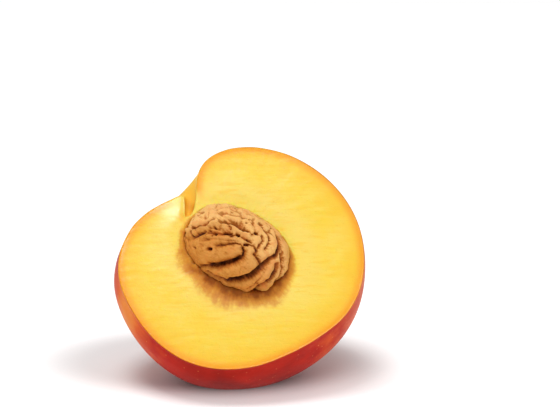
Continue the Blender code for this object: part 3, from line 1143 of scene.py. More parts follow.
class MeshDraft:
    """Gathers points and faces in millimetres and makes the object in metres."""

    def __init__(self) -> None:
        """Start with nothing."""
        self.points: list[np.ndarray] = []
        self.faces: list[tuple[int, ...]] = []
        self.finish_of_face: list[int] = []
        self.count = 0

    def add_points(self, points: np.ndarray) -> np.ndarray:
        """Add points.

        Args:
            points: Places in mm, one row each.

        Returns:
            Their numbers.
        """
        numbers = np.arange(self.count, self.count + len(points))
        self.points.append(points)
        self.count += len(points)
        return numbers

    def add_faces(self, faces: list[tuple[int, ...]], finish: int = 0) -> None:
        """Add faces of one finish."""
        self.faces += faces
        self.finish_of_face += [finish] * len(faces)

    def build(self, name: str, to_model: Callable[[np.ndarray], np.ndarray],
              finishes: list[bpy.types.Material]) -> bpy.types.Object:
        """Make the object.

        Args:
            name: The piece's name.
            to_model: Takes the gathered points to the model's frame, mm.
            finishes: The materials, in the order of the faces' numbers.

        Returns:
            The new object, smooth shaded and linked.
        """
        places = to_model(np.vstack(self.points)) * MM
        mesh = bpy.data.meshes.new(name)
        mesh.from_pydata(places.tolist(), [], self.faces)
        for finish in finishes:
            mesh.materials.append(finish)
        mesh.polygons.foreach_set("material_index", self.finish_of_face)
        mesh.validate()
        mesh.update()
        mesh.shade_smooth()
        piece = bpy.data.objects.new(name, mesh)
        bpy.context.scene.collection.objects.link(piece)
        return piece


def carry(piece: bpy.types.Object, place: Place, values: np.ndarray) -> None:
    """Store one number or vector for each point of a piece.

    Args:
        piece: The piece.
        place: The name to store it under.
        values: One row for each point.
    """
    kind = "FLOAT" if values.ndim == 1 else "FLOAT_VECTOR"
    key = "value" if values.ndim == 1 else "vector"
    layer = piece.data.attributes.new(place.value, kind, "POINT")
    layer.data.foreach_set(key, values.astype(np.float32).ravel())


def turn_outwards(piece: bpy.types.Object) -> None:
    """Flip a closed piece's faces if they point in.

    Args:
        piece: The piece.
    """
    mesh = piece.data
    mesh.calc_loop_triangles()
    corners = np.array([triangle.vertices[:] for triangle in mesh.loop_triangles])
    places = np.array([vertex.co[:] for vertex in mesh.vertices])
    first, second, third = (places[corners[:, index]] for index in range(3))
    volume = (first * np.cross(second, third)).sum() / 6.0
    if volume < 0.0:
        mesh.flip_normals()


@dataclass(frozen=True)
class Furrow:
    """A furrow or a raised rib of the stone.

    Attributes:
        depth: Its depth, or a rib's height, mm.
        width: Its half width, mm.
        run: Its course along and across the stone, mm.
        bank: How much its banks round off, 1 for in full.
    """

    depth: float
    width: float
    run: tuple[Pair, ...]
    bank: float = 1.0

    def path(self, form: StoneForm, pitch: float) -> np.ndarray:
        """Return spots along the furrow on the open side of the form.

        Args:
            form: The stone's form.
            pitch: The distance between spots, mm.

        Returns:
            One spot in each row.
        """
        spots = [np.array(self.run[:1])]
        for start, end in zip(self.run, self.run[1:]):
            parts = max(1, round(math.dist(start, end) / pitch))
            spots.append(np.linspace(start, end, parts + 1)[1:])
        return form.lift(np.vstack(spots), 1.0)


@dataclass(frozen=True)
class Lumps:
    """A layer of smooth noise over a surface.

    Attributes:
        height: How high or deep it works, mm.
        size: The length over which it changes, mm.
        shift: Sets its pattern apart from the others'.
        drawn: Below 1, how far it is drawn out along the first axis.
        wander: How far its lines wander.
        edge: The values of its noise at which it starts and is full.
    """

    height: float
    size: float
    shift: float
    drawn: float = 1.0
    wander: float = 0.0
    edge: Pair = (0.0, 1.0)

    def sample(self, points: np.ndarray, wander: np.ndarray | float = 0.0) -> np.ndarray:
        """Sample the layer's noise at points that wander."""
        runs = points * np.array([self.drawn, 1.0, 1.0]) + self.wander * wander
        return cloud(runs, self.size, self.shift)

    def dig(self, values: np.ndarray, share: np.ndarray) -> np.ndarray:
        """Return how deep the layer digs, by its values and its share at each point."""
        return self.height * share * smooth_step(values, *self.edge)


@dataclass
class PeachStone:
    """The furrowed stone, which stands half out of its hollow.

    Attributes:
        cut, form: The frame of the cut face and the stone's outer form.
        rows, columns: The rows of points from base to tip and the columns round it.
        open_side: How much denser the columns stand on the open side.
        pitch: The distance between spots along a furrow, mm.
        blend: How sharply the deeper of two furrows wins.
        steepness: How steep a furrow's walls are.
        full_depth: The depth of a furrow from which its banks round off in full, mm.
        shoulder_depth, shoulder_width: How far and how wide the banks round off, mm.
        furrow_reach: How far from a furrow its effect is worked out, mm.
        sunk: How far the whole surface lies below the outer form, mm.
        level_depth: The depth that takes the level, which sets the painted shade, from 1 to 0, mm.
        contrast: How much each mm that a point stands out raises its level, painting raised
            points lighter and sunk ones darker.
        smoothing: How many times the surroundings are smoothed.
        wander_size, wander_shifts: The length over which lines wander, and their patterns.
        furrow_wander: How far the named furrows wander.
        sunk_range: How far behind the cut the sunk side starts and is full, mm.
        least_crags: How craggy the lowest part of the open side is.
        crag_range: Where up the face the crags start and are full, mm.
        sunk_furrows, cracks, pits, knobs, swells: The layers of finer relief.
        furrows: The furrows and pits of the open side.
        ribs: The raised ribs of the open side, with heights for depths.
    """

    cut: CutFrame
    form: StoneForm
    rows: int = 200
    columns: int = 360
    open_side: float = 0.4
    pitch: float = 0.25
    blend: float = 4.0
    steepness: float = 2.0
    full_depth: float = 2.0
    shoulder_depth: float = 2.4
    shoulder_width: float = 2.7
    furrow_reach: float = 4.0
    sunk: float = 0.3
    level_depth: float = 2.4
    contrast: float = 0.55
    smoothing: int = 24
    wander_size: float = 3.4
    wander_shifts: Triple = (1.0, 21.0, 41.0)
    furrow_wander: float = 0.15
    sunk_range: Pair = (-1.0, 4.0)
    least_crags: float = 0.15
    crag_range: Pair = (-1.5, 2.5)
    sunk_furrows: Lumps = Lumps(1.3, 2.6, 3.0, 0.5, 0.2, (0.8, 1.0))
    cracks: Lumps = Lumps(0.45, 2.9, 14.0, 0.5, 0.7, (0.78, 1.0))
    pits: Lumps = Lumps(1.0, 1.3, 31.0, 0.6, 0.3, (0.32, 0.55))
    knobs: Lumps = Lumps(0.3, 1.7, 51.0, 0.7)
    swells: tuple[Lumps, ...] = (
        Lumps(0.5, 4.2, 0.0), Lumps(0.2, 1.6, 61.0, 0.5), Lumps(0.1, 0.9, 8.0, 0.6),
    )
    furrows: tuple[Furrow, ...] = (
        Furrow(2.2, 0.75, ((-2.3, -10.6), (-0.6, -10.0), (1.0, -9.1), (2.4, -7.8), (3.7, -6.4),
               (4.8, -4.6))),
        Furrow(1.4, 0.42, ((4.8, -4.6), (4.9, -3.6), (4.5, -2.5), (3.6, -1.8))),
        Furrow(0.8, 0.34, ((3.6, -1.8), (2.5, -1.3), (0.9, -1.8), (-0.6, -2.9), (-2.0, -4.2),
               (-3.5, -5.3))),
        Furrow(2.0, 0.5, ((-5.2, -7.3), (-4.7, -7.2)), 0.3),
        Furrow(1.3, 0.6, ((2.9, -11.3), (4.2, -11.2), (5.4, -10.9)), 0.6),
        Furrow(3.1, 0.9, ((5.4, -10.6), (6.4, -10.2), (7.6, -9.5), (8.9, -8.3), (10.2, -6.9),
               (11.0, -4.7)), 0.7),
        Furrow(1.8, 0.65, ((11.0, -4.7), (11.3, -2.9), (11.5, -1.1), (11.8, 0.6))),
        Furrow(0.8, 0.5, ((-2.3, -11.5), (-0.3, -11.6), (1.6, -11.5), (2.9, -11.3))),
        Furrow(1.4, 0.6, ((11.8, 0.6), (12.5, 3.2), (11.9, 5.0), (10.8, 7.0), (9.1, 8.5))),
        Furrow(0.8, 0.5, ((9.1, 8.5), (6.3, 9.9), (3.2, 10.5), (-0.5, 10.6))),
        Furrow(1.3, 0.42, ((7.5, -1.4), (8.6, -1.6), (9.8, -1.9), (11.0, -2.6))),
        Furrow(0.22, 0.4, ((5.2, -5.2), (6.0, -6.4), (6.6, -7.8))),
        Furrow(0.8, 0.45, ((3.5, -1.0), (4.5, 0.2), (5.8, 0.7), (7.2, 0.2), (7.6, -1.3))),
        Furrow(1.6, 0.6, ((3.5, -0.6), (4.2, -0.1)), 0.3),
        Furrow(1.0, 0.5, ((-8.3, -2.6), (-6.8, -2.8), (-5.8, -2.0), (-4.5, -1.7), (-3.8, -0.5),
               (-2.1, 0.1))),
        Furrow(2.1, 0.55, ((-6.8, -2.6), (-6.2, -2.5)), 0.3),
        Furrow(1.9, 0.5, ((-4.1, -0.9), (-3.5, -0.4)), 0.3),
        Furrow(2.2, 0.5, ((-0.4, 0.9), (0.2, 0.9)), 0.3),
        Furrow(2.0, 0.75, ((-10.7, -1.6), (-10.1, -0.6)), 0.3),
        Furrow(0.6, 0.4, ((-12.2, -3.1), (-10.7, -1.6), (-10.1, 0.2), (-9.4, 1.5))),
        Furrow(1.1, 0.6, ((-7.0, 1.9), (-5.0, 2.8), (-2.6, 3.2), (-0.7, 3.2), (1.5, 3.7))),
        Furrow(2.0, 0.65, ((-0.4, 3.1), (1.3, 3.6)), 0.3),
        Furrow(0.7, 0.4, ((-2.0, -0.4), (-0.1, 0.8), (2.3, 1.1), (4.6, 1.1))),
        Furrow(0.35, 0.35, ((-7.6, -5.5), (-5.0, -3.8), (-2.8, -3.1), (-0.4, -1.6), (2.0, -0.6))),
        Furrow(0.8, 0.4, ((2.9, 8.0), (4.8, 7.4), (6.7, 6.6), (7.8, 5.9), (8.7, 4.3), (8.9, 2.1))),
        Furrow(2.1, 0.45, ((7.4, 6.1), (8.1, 5.5)), 0.3),
        Furrow(2.1, 0.45, ((3.7, 4.8), (4.1, 5.0)), 0.3),
        Furrow(0.6, 0.35, ((1.5, 3.7), (3.2, 3.6), (3.9, 4.9), (5.6, 5.2), (6.9, 3.9),
               (7.1, 1.9), (7.2, 0.2))),
        Furrow(0.6, 0.4, ((-9.0, 4.1), (-7.4, 5.1), (-5.5, 5.7), (-3.2, 6.8), (-1.3, 7.3),
               (1.6, 6.6), (3.9, 4.9))),
        Furrow(1.5, 0.45, ((-8.8, 4.4), (-7.4, 5.1)), 0.3),
        Furrow(1.5, 0.45, ((-4.3, 6.2), (-2.9, 6.9)), 0.3),
        Furrow(0.7, 0.45, ((-11.4, -6.1), (-11.0, -5.4), (-10.0, -4.3), (-9.1, -3.4))),
        Furrow(1.1, 0.42, ((-10.1, -4.4), (-9.4, -3.8)), 0.3),
        Furrow(0.9, 0.6, ((-2.3, -10.6), (-4.2, -11.0), (-6.0, -11.2))),
        Furrow(0.8, 0.4, ((-9.3, -8.3), (-8.8, -8.4)), 0.3),
        Furrow(1.6, 0.5, ((12.0, -8.6), (12.7, -7.6), (14.0, -5.6), (14.7, -3.6), (14.7, -0.9),
               (14.2, 0.8))),
        Furrow(1.1, 0.4, ((15.6, -2.6), (15.8, -0.6), (15.3, 1.7), (14.2, 3.2), (13.0, 4.4))),
        Furrow(0.9, 0.35, ((12.4, -6.9), (12.6, -6.7)), 0.3),
        Furrow(0.6, 0.35, ((8.1, -9.6), (8.3, -9.5)), 0.3),
        Furrow(0.5, 0.35, ((10.3, -9.3), (11.6, -7.8), (12.5, -5.2), (12.6, -2.6),
               (12.7, -0.1)), 0.5),
    )
    ribs: tuple[Furrow, ...] = (
        Furrow(0.45, 0.6, ((-11.6, -5.1), (-11.3, -3.6), (-10.0, -2.2), (-8.8, -0.6),
               (-7.0, 0.8), (-4.3, 1.8), (-2.0, 2.3), (0.3, 2.3), (2.7, 2.7))),
        Furrow(0.45, 0.6, ((-6.9, 3.3), (-4.7, 4.6), (-2.4, 6.2), (-0.3, 7.0), (1.9, 6.3),
               (3.4, 5.6))),
        Furrow(0.3, 0.5, ((-8.4, -4.4), (-6.3, -4.1), (-4.3, -3.2), (-2.0, -1.5), (0.3, -0.4))),
        Furrow(0.3, 0.5, ((2.7, 1.7), (4.3, 2.6), (5.9, 3.0), (7.9, 2.5), (9.4, 3.0))),
    )

    def directions(self) -> np.ndarray:
        """Spread the net of points, denser on the open side.

        Returns:
            The points' directions, both ends last.
        """
        along = np.linspace(0.0, math.pi, self.rows + 1)[1:-1]
        around = np.linspace(-math.pi, math.pi, self.columns, endpoint=False)
        around -= self.open_side * np.sin(around)
        row, column = np.meshgrid(along, around, indexing="ij")
        across = np.sin(row)
        ways = np.stack([-np.cos(row), across * np.sin(column), across * np.cos(column)], axis=-1)
        ends = np.array([[-1.0, 0.0, 0.0], [1.0, 0.0, 0.0]])
        return np.vstack([ways.reshape(-1, 3), ends])

    def gap_to(self, run: Furrow, points: np.ndarray) -> np.ndarray:
        """Find each point's distance to a furrow or rib.

        Args:
            run: The furrow or rib.
            points: Points in the stone's frame.

        Returns:
            The distances, infinite far from it.
        """
        path = run.path(self.form, self.pitch)
        reach = np.abs(path - path.mean(axis=0)).max() + self.furrow_reach
        near = np.where(np.abs(points - path.mean(axis=0)).max(axis=1) < reach)[0]
        gap = np.full(len(points), np.inf)
        for spot in path:
            gap[near] = np.minimum(gap[near], np.linalg.norm(points[near] - spot, axis=1))
        return gap

    def furrow_depth(self, points: np.ndarray) -> np.ndarray:
        """Find how deep the named furrows, their banks and the ribs set each point.

        Args:
            points: Points in the stone's frame.

        Returns:
            The depths, mm.
        """
        total = np.zeros(len(points))
        banks = np.zeros(len(points))
        for furrow in self.furrows:
            gap = self.gap_to(furrow, points)
            trench = furrow.depth * np.exp(-((gap / furrow.width) ** self.steepness))
            total += trench**self.blend
            share = furrow.bank * min(1.0, furrow.depth / self.full_depth)
            slope = np.clip(1.0 - gap / (self.shoulder_width * math.sqrt(share)), 0.0, 1.0)
            banks = np.maximum(banks, self.shoulder_depth * share * slope**2)
        total += banks**self.blend
        depth = total ** (1.0 / self.blend)
        for rib in self.ribs:
            depth -= rib.depth * mound(self.gap_to(rib, points), rib.width)
        return depth

    def surface(self, ways: np.ndarray) -> tuple[np.ndarray, np.ndarray, np.ndarray]:
        """Find the furrowed surface along directions.

        Args:
            ways: Unit directions in the stone's frame.

        Returns:
            The smooth form's points, the surface's reach, and its depth below the form.
        """
        reach = self.form.reach(ways)
        outside = ways * reach[:, None]
        parts = [cloud(outside, self.wander_size, shift) for shift in self.wander_shifts]
        wander = np.column_stack(parts)
        depth = self.sunk + self.furrow_depth(outside + self.furrow_wander * wander)
        sunk_side = smooth_step(-outside[:, 2], *self.sunk_range)
        rising = smooth_step(outside @ self.form.up, *self.crag_range)
        crags = self.least_crags + (1.0 - self.least_crags) * rising
        creases = 1.0 - np.abs(self.sunk_furrows.sample(outside, wander))
        depth += self.sunk_furrows.dig(creases, sunk_side)
        creases = 1.0 - np.abs(self.cracks.sample(outside, wander))
        depth += self.cracks.dig(creases, crags)
        depth += self.pits.dig(self.pits.sample(outside, wander), crags)
        depth -= self.knobs.height * crags * self.knobs.sample(outside)
        for swell in self.swells:
            depth += swell.height * swell.sample(outside)
        return outside, reach - depth, depth

    def build(self, finish: bpy.types.Material) -> bpy.types.Object:
        """Make the dressed stone.

        Args:
            finish: The stone's material.

        Returns:
            The piece.
        """
        ways = self.directions()
        outside, reach, depth = self.surface(ways)
        draft = MeshDraft()
        numbers = draft.add_points(self.form.to_face(ways * reach[:, None]))
        draft.add_faces(self.net_faces(numbers))
        piece = draft.build("peach_stone_fine", self.cut.to_model, [finish])
        # The level paints shade into deep points and highlight onto points that stand out.
        level = 1.0 - (depth - self.sunk) / self.level_depth
        level += self.contrast * self.stand_out(depth)
        carry(piece, Place.LIGHT_AND_SHADE, np.clip(level, 0.0, 1.0))
        carry(piece, Place.STONE, outside)
        turn_outwards(piece)
        return piece

    def stand_out(self, depth: np.ndarray) -> np.ndarray:
        """Find how far each point stands above its surroundings.

        Args:
            depth: Each point's depth, both ends last, mm.

        Returns:
            The heights, mm, none for the ends.
        """
        grid = depth[:-2].reshape(self.rows - 1, self.columns)
        around = grid.copy()
        for _ in range(self.smoothing):
            beside = np.roll(around, 1, axis=1), np.roll(around, -1, axis=1)
            around = (beside[0] + 2.0 * around + beside[1]) / 4.0
            around[1:-1] = (around[:-2] + 2.0 * around[1:-1] + around[2:]) / 4.0
        return np.append((around - grid).ravel(), [0.0, 0.0])

    def net_faces(self, numbers: np.ndarray) -> list[tuple[int, ...]]:
        """Join the net of points, with a fan at each end.

        Args:
            numbers: The points' numbers, both ends last.

        Returns:
            The faces.
        """
        grid = numbers[:-2].reshape(self.rows - 1, self.columns)
        base, tip = int(numbers[-2]), int(numbers[-1])
        faces: list[tuple[int, ...]] = []
        beside = np.roll(grid, -1, axis=1)
        for row in range(self.rows - 2):
            corners = zip(grid[row], grid[row + 1], beside[row + 1], beside[row])
            faces += [tuple(int(corner) for corner in face) for face in corners]
        faces += [(base, int(first), int(second)) for first, second in zip(grid[0], beside[0])]
        faces += [(tip, int(second), int(first)) for first, second in zip(grid[-1], beside[-1])]
        return faces


@dataclass
class FruitHalf:
    """Skin, cut flesh and the stone's hollow as one closed piece.

    Attributes:
        cut, outline, stone: The face's frame, the fruit's outlines and its stone.
        pitch, columns: The distance between rows of skin, mm, and the columns round the back.
        widest: How far behind the cut the widest ring lies, as a share of its depth.
        groove_depth, groove_width: The size of the seam's groove, mm.
        groove_reach: The ring size at which the groove is full, mm.
        wave, wave_length: The height and length of the skin's slow waves, mm.
        wave_fade: How far from the cut they fade in, mm.
        face_pitch: The distance between points of the cut face, mm.
        net_gaps: How far the face's net stays off the stone's rings and the skin, in pitches.
        rim_points: The points round the hollow's rim.
        rim_height, rim_low: How far the rim climbs the stone and the lowest it dips, mm.
        rim_waves: Heights, closeness and shifts of the rim's ragged waves.
        hollow_rows: The rows of points down the hollow.
        hollow_rough, hollow_grain, hollow_shift: The hollow's roughness, mm, and its pattern.
        clearance: The gap round the sunk side of the stone, mm.
        cling: The gap between the stone and the rim, less than nothing as the flesh clings, mm.
        softness: How round the flat spot's edge is, mm.
        rim_steps: How far the rings of points round the stone stand off it, mm.
        pull_centre, pull_size: Where the lobe beside the notch stands and how far it spreads, mm.
        pull_height, pull_edge: How far it is pulled up and how wide its edge is, mm.
        least_gap: The least distance to the skin that is told apart there, mm.
        flesh_swells, coarse: The slow swells of the cut, and the patches of torn flesh.
        fibre_height, torn_height, torn_width: The fibres' height everywhere and at the
            stone, and how far that reaches, mm.
        fibre_shift: Sets the pattern of the fibres apart.
        ditch: The depth, distance from the stone and width of a low ditch, mm.
        lip: The height and width of the lip of flesh at the stone, mm.
        ditch_patches, lip_patches: How full they are everywhere, and what patches add.
        flat_edge: How far from the skin the cut lies flat, mm.
        bevel, bevel_heights: The depth and width of the fall at the skin, mm, and where
            down the stem axis it starts and is full.
        halo_width, halo_least: The halo's width, what is added below as painted shade, taken
        at the ends and on the right, and its least width, mm.
        halo_ragged: How much its width varies, over what length, and a shift.
        halo_strength, halo_patches: Its strength, painted shade added below, and its patches.
        fibres: How close the fibres stand round the stone, and away from it.
        sunk_depth, sunk_gap: From how far behind the cut a point counts as in the hollow,
        painted the halo's darkest colour as shade, and the distance to the stone that is stored for
        it, mm.
    """

    cut: CutFrame
    outline: FruitOutline
    stone: PeachStone
    pitch: float = 0.62
    columns: int = 150
    widest: float = 1.0 / 6.0
    groove_depth: float = 0.9
    groove_width: float = 4.0
    groove_reach: float = 30.0
    wave: float = 0.35
    wave_length: float = 22.0
    wave_fade: float = 8.0
    face_pitch: float = 0.48
    net_gaps: Pair = (0.6, 0.4)
    rim_points: int = 288
    rim_height: float = 0.55
    rim_waves: tuple[Triple, ...] = ((0.9, 3.0, 4.0), (0.7, 11.0, 9.0))
    rim_low: float = -0.1
    hollow_rows: int = 26
    hollow_rough: float = 0.2
    hollow_grain: float = 14.0
    hollow_shift: float = 11.0
    clearance: float = 0.35
    cling: float = -0.2
    softness: float = 0.2
    rim_steps: tuple[float, ...] = (0.15, 0.4, 0.7, 1.05, 1.4)
    pull_centre: Pair = (-14.6, 11.8)
    pull_size: Pair = (6.0, 5.5)
    pull_height: float = 0.62
    pull_edge: float = 1.9
    least_gap: float = 0.02
    flesh_swells: tuple[Lumps, ...] = (Lumps(0.14, 13.0, 5.0), Lumps(0.03, 1.6, 7.0, 0.25))
    coarse: Lumps = Lumps(1.0, 2.2, 9.0)
    fibre_shift: float = 2.0
    fibre_height: float = 0.015
    torn_height: float = 0.1
    torn_width: float = 2.5
    ditch: Triple = (0.08, 2.4, 1.6)
    ditch_patches: Pair = (0.7, 0.6)
    lip: Pair = (0.6, 0.8)
    lip_patches: Pair = (0.7, 0.9)
    flat_edge: float = 1.2
    bevel: Pair = (0.1, 0.5)
    bevel_heights: Pair = (-16.0, -10.0)
    halo_width: tuple[float, float, float, float] = (3.2, 4.2, 1.0, 1.3)
    halo_ragged: Triple = (0.4, 0.45, 3.0)
    halo_least: float = 0.6
    halo_strength: Pair = (0.75, 0.3)
    halo_patches: Lumps = Lumps(0.3, 2.8, 17.0)
    fibres: Pair = (22.0, 0.16)
    sunk_depth: float = 1.0
    sunk_gap: float = -0.5
    draft: MeshDraft = field(default_factory=MeshDraft)

    def skin_rings(self) -> np.ndarray:
        """Lay rings of skin round the stem axis.

        Returns:
            The points as rows of rings, in the face's frame.
        """
        shoulder, seam, back = self.outline.runs()
        places = self.outline.positions(shoulder, self.pitch)
        right = self.cut.spread(*self.outline.along(shoulder, places).T)
        left = self.cut.spread(*self.outline.along(seam, places).T)
        behind = self.outline.along(back, places)
        middle = (right + left) / 2.0
        half = (right - left) / 2.0
        rear = self.cut.spread(behind[:, 0], middle @ self.cut.side)
        rear[:, 2] = -behind[:, 1]
        depth = rear - middle
        start = -math.asin(self.widest / (1.0 - self.widest))
        turns = np.linspace(start, math.pi - start, self.columns + 1)
        sink = self.widest + (1.0 - self.widest) * np.sin(turns)
        outward = (half[:, None, :] * (np.cos(turns) / math.cos(start))[None, :, None]
                   + depth[:, None, :] * sink[None, :, None])
        reach = np.linalg.norm(half, axis=1)[:, None]
        outward *= self.swell(middle[:, None, :] + outward, outward, turns, reach)[..., None]
        rings = middle[:, None, :] + outward
        rings[:, [0, -1], 2] = 0.0
        return rings

    def swell(self, points: np.ndarray, outward: np.ndarray, turns: np.ndarray,
              reach: np.ndarray) -> np.ndarray:
        """Find how much the seam's groove and the slow waves stretch each ring point.

        Args:
            points: The ring points.
            outward: Their offsets from each ring's middle.
            turns: The turn of each column round the ring.
            reach: Each ring's half width.

        Returns:
            A factor for each point.
        """
        behind = np.maximum(0.0, -outward[..., 2])
        share = np.maximum(0.0, -np.cos(turns))[None, :] ** 2
        share = share * np.minimum(1.0, reach / self.groove_reach)
        groove = self.groove_depth * share * (1.0 - mound(behind, self.groove_width))
        fade = np.minimum(1.0, behind / self.wave_fade) * np.minimum(1.0, reach / self.wave_fade)
        waves = cloud(points.reshape(-1, 3), self.wave_length).reshape(behind.shape)
        length = np.maximum(np.linalg.norm(outward, axis=2), 1.0)
        return 1.0 + (groove + self.wave * fade * waves) / length

    def build(self, skin: bpy.types.Material, flesh: bpy.types.Material) -> bpy.types.Object:
        """Make the dressed half.

        Args:
            skin: The skin's material.
            flesh: The flesh's material.

        Returns:
            The piece.
        """
        rings = self.skin_rings()
        edge = self.lay_skin(rings)
        rim = self.rim_loop()
        rim_numbers = self.draft.add_points(rim)
        self.lay_hollow(rim_numbers)
        self.lay_cut_face(edge, rings, rim, rim_numbers)
        piece = self.draft.build("fruit_half_fine", self.settle, [skin, flesh])
        self.measure(piece, rings)
        turn_outwards(piece)
        return piece

    def lay_skin(self, rings: np.ndarray) -> np.ndarray:
        """Add the skin.

        Args:
            rings: The skin's points.

        Returns:
            The numbers of its edge at the cut, in order.
        """
        rows, columns = rings.shape[:2]
        first = self.draft.add_points(rings[0, :1])
        grid = self.draft.add_points(rings[1:-1].reshape(-1, 3)).reshape(rows - 2, columns)
        last = self.draft.add_points(rings[-1, :1])
        top = np.repeat(first, columns)
        bottom = np.repeat(last, columns)
        table = np.vstack([top, grid, bottom])
        faces = []
        for row in range(rows - 1):
            for column in range(columns - 1):
                corners = (table[row, column], table[row, column + 1],
                           table[row + 1, column + 1], table[row + 1, column])
                faces.append(tuple(dict.fromkeys(int(corner) for corner in corners)))
        self.draft.add_faces(faces, 0)
        return np.concatenate([first, grid[:, 0], last, grid[::-1, -1]])

    def rim_loop(self) -> np.ndarray:
        """Lay the ragged rim of flesh along the stone's own surface.

        Returns:
            The rim's points, in the face's frame.
        """
        turns = np.linspace(0.0, 2.0 * math.pi, self.rim_points, endpoint=False)
        flat = np.column_stack([np.cos(turns), np.sin(turns), np.zeros_like(turns)])
        climb = np.full(self.rim_points, self.rim_height)
        for height, closeness, shift in self.rim_waves:
            climb += height * cloud(flat * closeness, 1.0, shift)
        ways = flat * self.stone.form.reach(flat)[:, None]
        ways[:, 2] = np.maximum(climb, self.rim_low)
        ways /= np.linalg.norm(ways, axis=1)[:, None]
        _, reach, _ = self.stone.surface(ways)
        return self.stone.form.to_face(ways * (reach + self.cling)[:, None])

    def lay_hollow(self, rim: np.ndarray) -> None:
        """Add the hollow below its rim.

        Args:
            rim: The numbers of the rim's points.
        """
        turns = np.linspace(0.0, 2.0 * math.pi, self.rim_points, endpoint=False)
        above = rim
        for row in range(1, self.hollow_rows):
            dip = math.pi / 2.0 * row / self.hollow_rows
            ways = np.column_stack([np.cos(turns) * math.cos(dip), np.sin(turns) * math.cos(dip),
                                    np.full_like(turns, -math.sin(dip))])
            grain = cloud(ways * self.hollow_grain, 1.0, self.hollow_shift)
            rough = self.hollow_rough * (0.5 + 0.5 * grain)
            points = ways * self.stone.form.reach(ways, self.clearance + rough)[:, None]
            below = self.draft.add_points(self.stone.form.to_face(points))
            self.join(above, below)
            above = below
        floor_way = np.array([[0.0, 0.0, -1.0]])
        floor_point = floor_way * self.stone.form.reach(floor_way, self.clearance)[:, None]
        bottom = self.draft.add_points(self.stone.form.to_face(floor_point))
        self.join(above, np.repeat(bottom, self.rim_points))

    def join(self, above: np.ndarray, below: np.ndarray) -> None:
        """Join two closed rows of the hollow with faces.

        Args:
            above: The numbers of the upper row.
            below: The numbers of the lower row.
        """
        count = len(above)
        faces = []
        for index in range(count):
            beside = (index + 1) % count
            corners = (above[index], above[beside], below[beside], below[index])
            faces.append(tuple(dict.fromkeys(int(corner) for corner in corners)))
        self.draft.add_faces(faces, 1)

    def lay_cut_face(self, edge: np.ndarray, rings: np.ndarray, rim: np.ndarray,
                     rim_numbers: np.ndarray) -> None:
        """Add the flesh between the skin's edge and the hollow's rim.

        Args:
            edge: The numbers of the skin's edge.
            rings: The skin's points.
            rim: The rim's points.
            rim_numbers: The rim's numbers.
        """
        border = np.vstack([rings[0, :1], rings[1:-1, 0], rings[-1, :1], rings[-2:0:-1, -1]])[:, :2]
        inner = self.face_points(border)
        flat = np.column_stack([inner, np.zeros(len(inner))])
        numbers = self.draft.add_points(self.raise_flesh(flat, border))
        places = np.vstack([border, rim[:, :2], inner])
        names = np.concatenate([edge, rim_numbers, numbers])
        count, loop = len(border), len(rim)
        lines = [(index, (index + 1) % count) for index in range(count)]
        lines += [(count + index, count + (index + 1) % loop) for index in range(loop)]
        result = geometry.delaunay_2d_cdt([Vector(place) for place in places], lines, [], 1, 1e-7)
        sources = [source[0] for source in result[3]]
        corners = np.array([[sources[corner] for corner in face] for face in result[2]])
        middles = places[corners].mean(axis=1)
        keep = ~self.inside(middles, rim[:, :2])
        faces = [tuple(int(number) for number in row) for row in names[corners[keep]]]
        self.draft.add_faces(faces, 1)

    def rim_gap(self, spots: np.ndarray) -> np.ndarray:
        """Find how far spots of the cut face lie from the stone's outline.

        Args:
            spots: Places in the face, mm.

        Returns:
            The distances, mm, less than nothing inside it.
        """
        local = self.stone.form.from_face(np.column_stack([spots, np.zeros(len(spots))]))
        length = np.maximum(np.linalg.norm(local, axis=1), NEAR_NOTHING)
        return length - self.stone.form.reach(local / length[:, None])

    @staticmethod
    def side_gaps(spots: np.ndarray, border: np.ndarray) -> Iterator[tuple[float, np.ndarray]]:
        """Go along the sides of a closed border.

        Args:
            spots: Places in the face, mm.
            border: The border's corners.

        Yields:
            Each side's length, and every spot's distance to it.
        """
        along = np.roll(border, -1, axis=0) - border
        squared = np.maximum((along**2).sum(axis=1), TINY)
        for first, way, size in zip(border, along, squared):
            offset = spots - first
            share = np.clip(offset @ way / size, 0.0, 1.0)
            yield math.sqrt(size), np.linalg.norm(offset - share[:, None] * way, axis=1)

    def edge_gap(self, spots: np.ndarray, border: np.ndarray) -> np.ndarray:
        """Find each spot's distance to a closed border.

        Args:
            spots: Places in the face, mm.
            border: The border's corners.

        Returns:
            The distances, mm.
        """
        nearest = np.full(len(spots), np.inf)
        for _, gap in self.side_gaps(spots, border):
            nearest = np.minimum(nearest, gap)
        return nearest

    def soft_edge_gap(self, spots: np.ndarray, border: np.ndarray) -> np.ndarray:
        """Find each spot's distance to a closed border, without creases between its sides.

        Every side adds its length over the fourth power of its distance. Beside a
        long straight side that adds up to pi / 2 over the cube of the distance.

        Args:
            spots: Places in the face, mm.
            border: The border's corners.

        Returns:
            The softened distances, mm.
        """
        total = np.zeros(len(spots))
        for length, gap in self.side_gaps(spots, border):
            total += length / np.maximum(gap, self.least_gap) ** 4
        return (2.0 / math.pi * total) ** (-1.0 / 3.0)

    @staticmethod
    def inside(spots: np.ndarray, border: np.ndarray) -> np.ndarray:
        """Tell which spots lie inside a closed border.

        Args:
            spots: Places in the face, mm.
            border: The border's corners.

        Returns:
            True or false for each spot.
        """
        result = np.zeros(len(spots), bool)
        for (left, low), (right, high) in zip(border, np.roll(border, -1, axis=0)):
            crosses = (low > spots[:, 1]) != (high > spots[:, 1])
            if low != high:
                reach = left + (spots[:, 1] - low) * (right - left) / (high - low)
                result ^= crosses & (spots[:, 0] < reach)
        return result

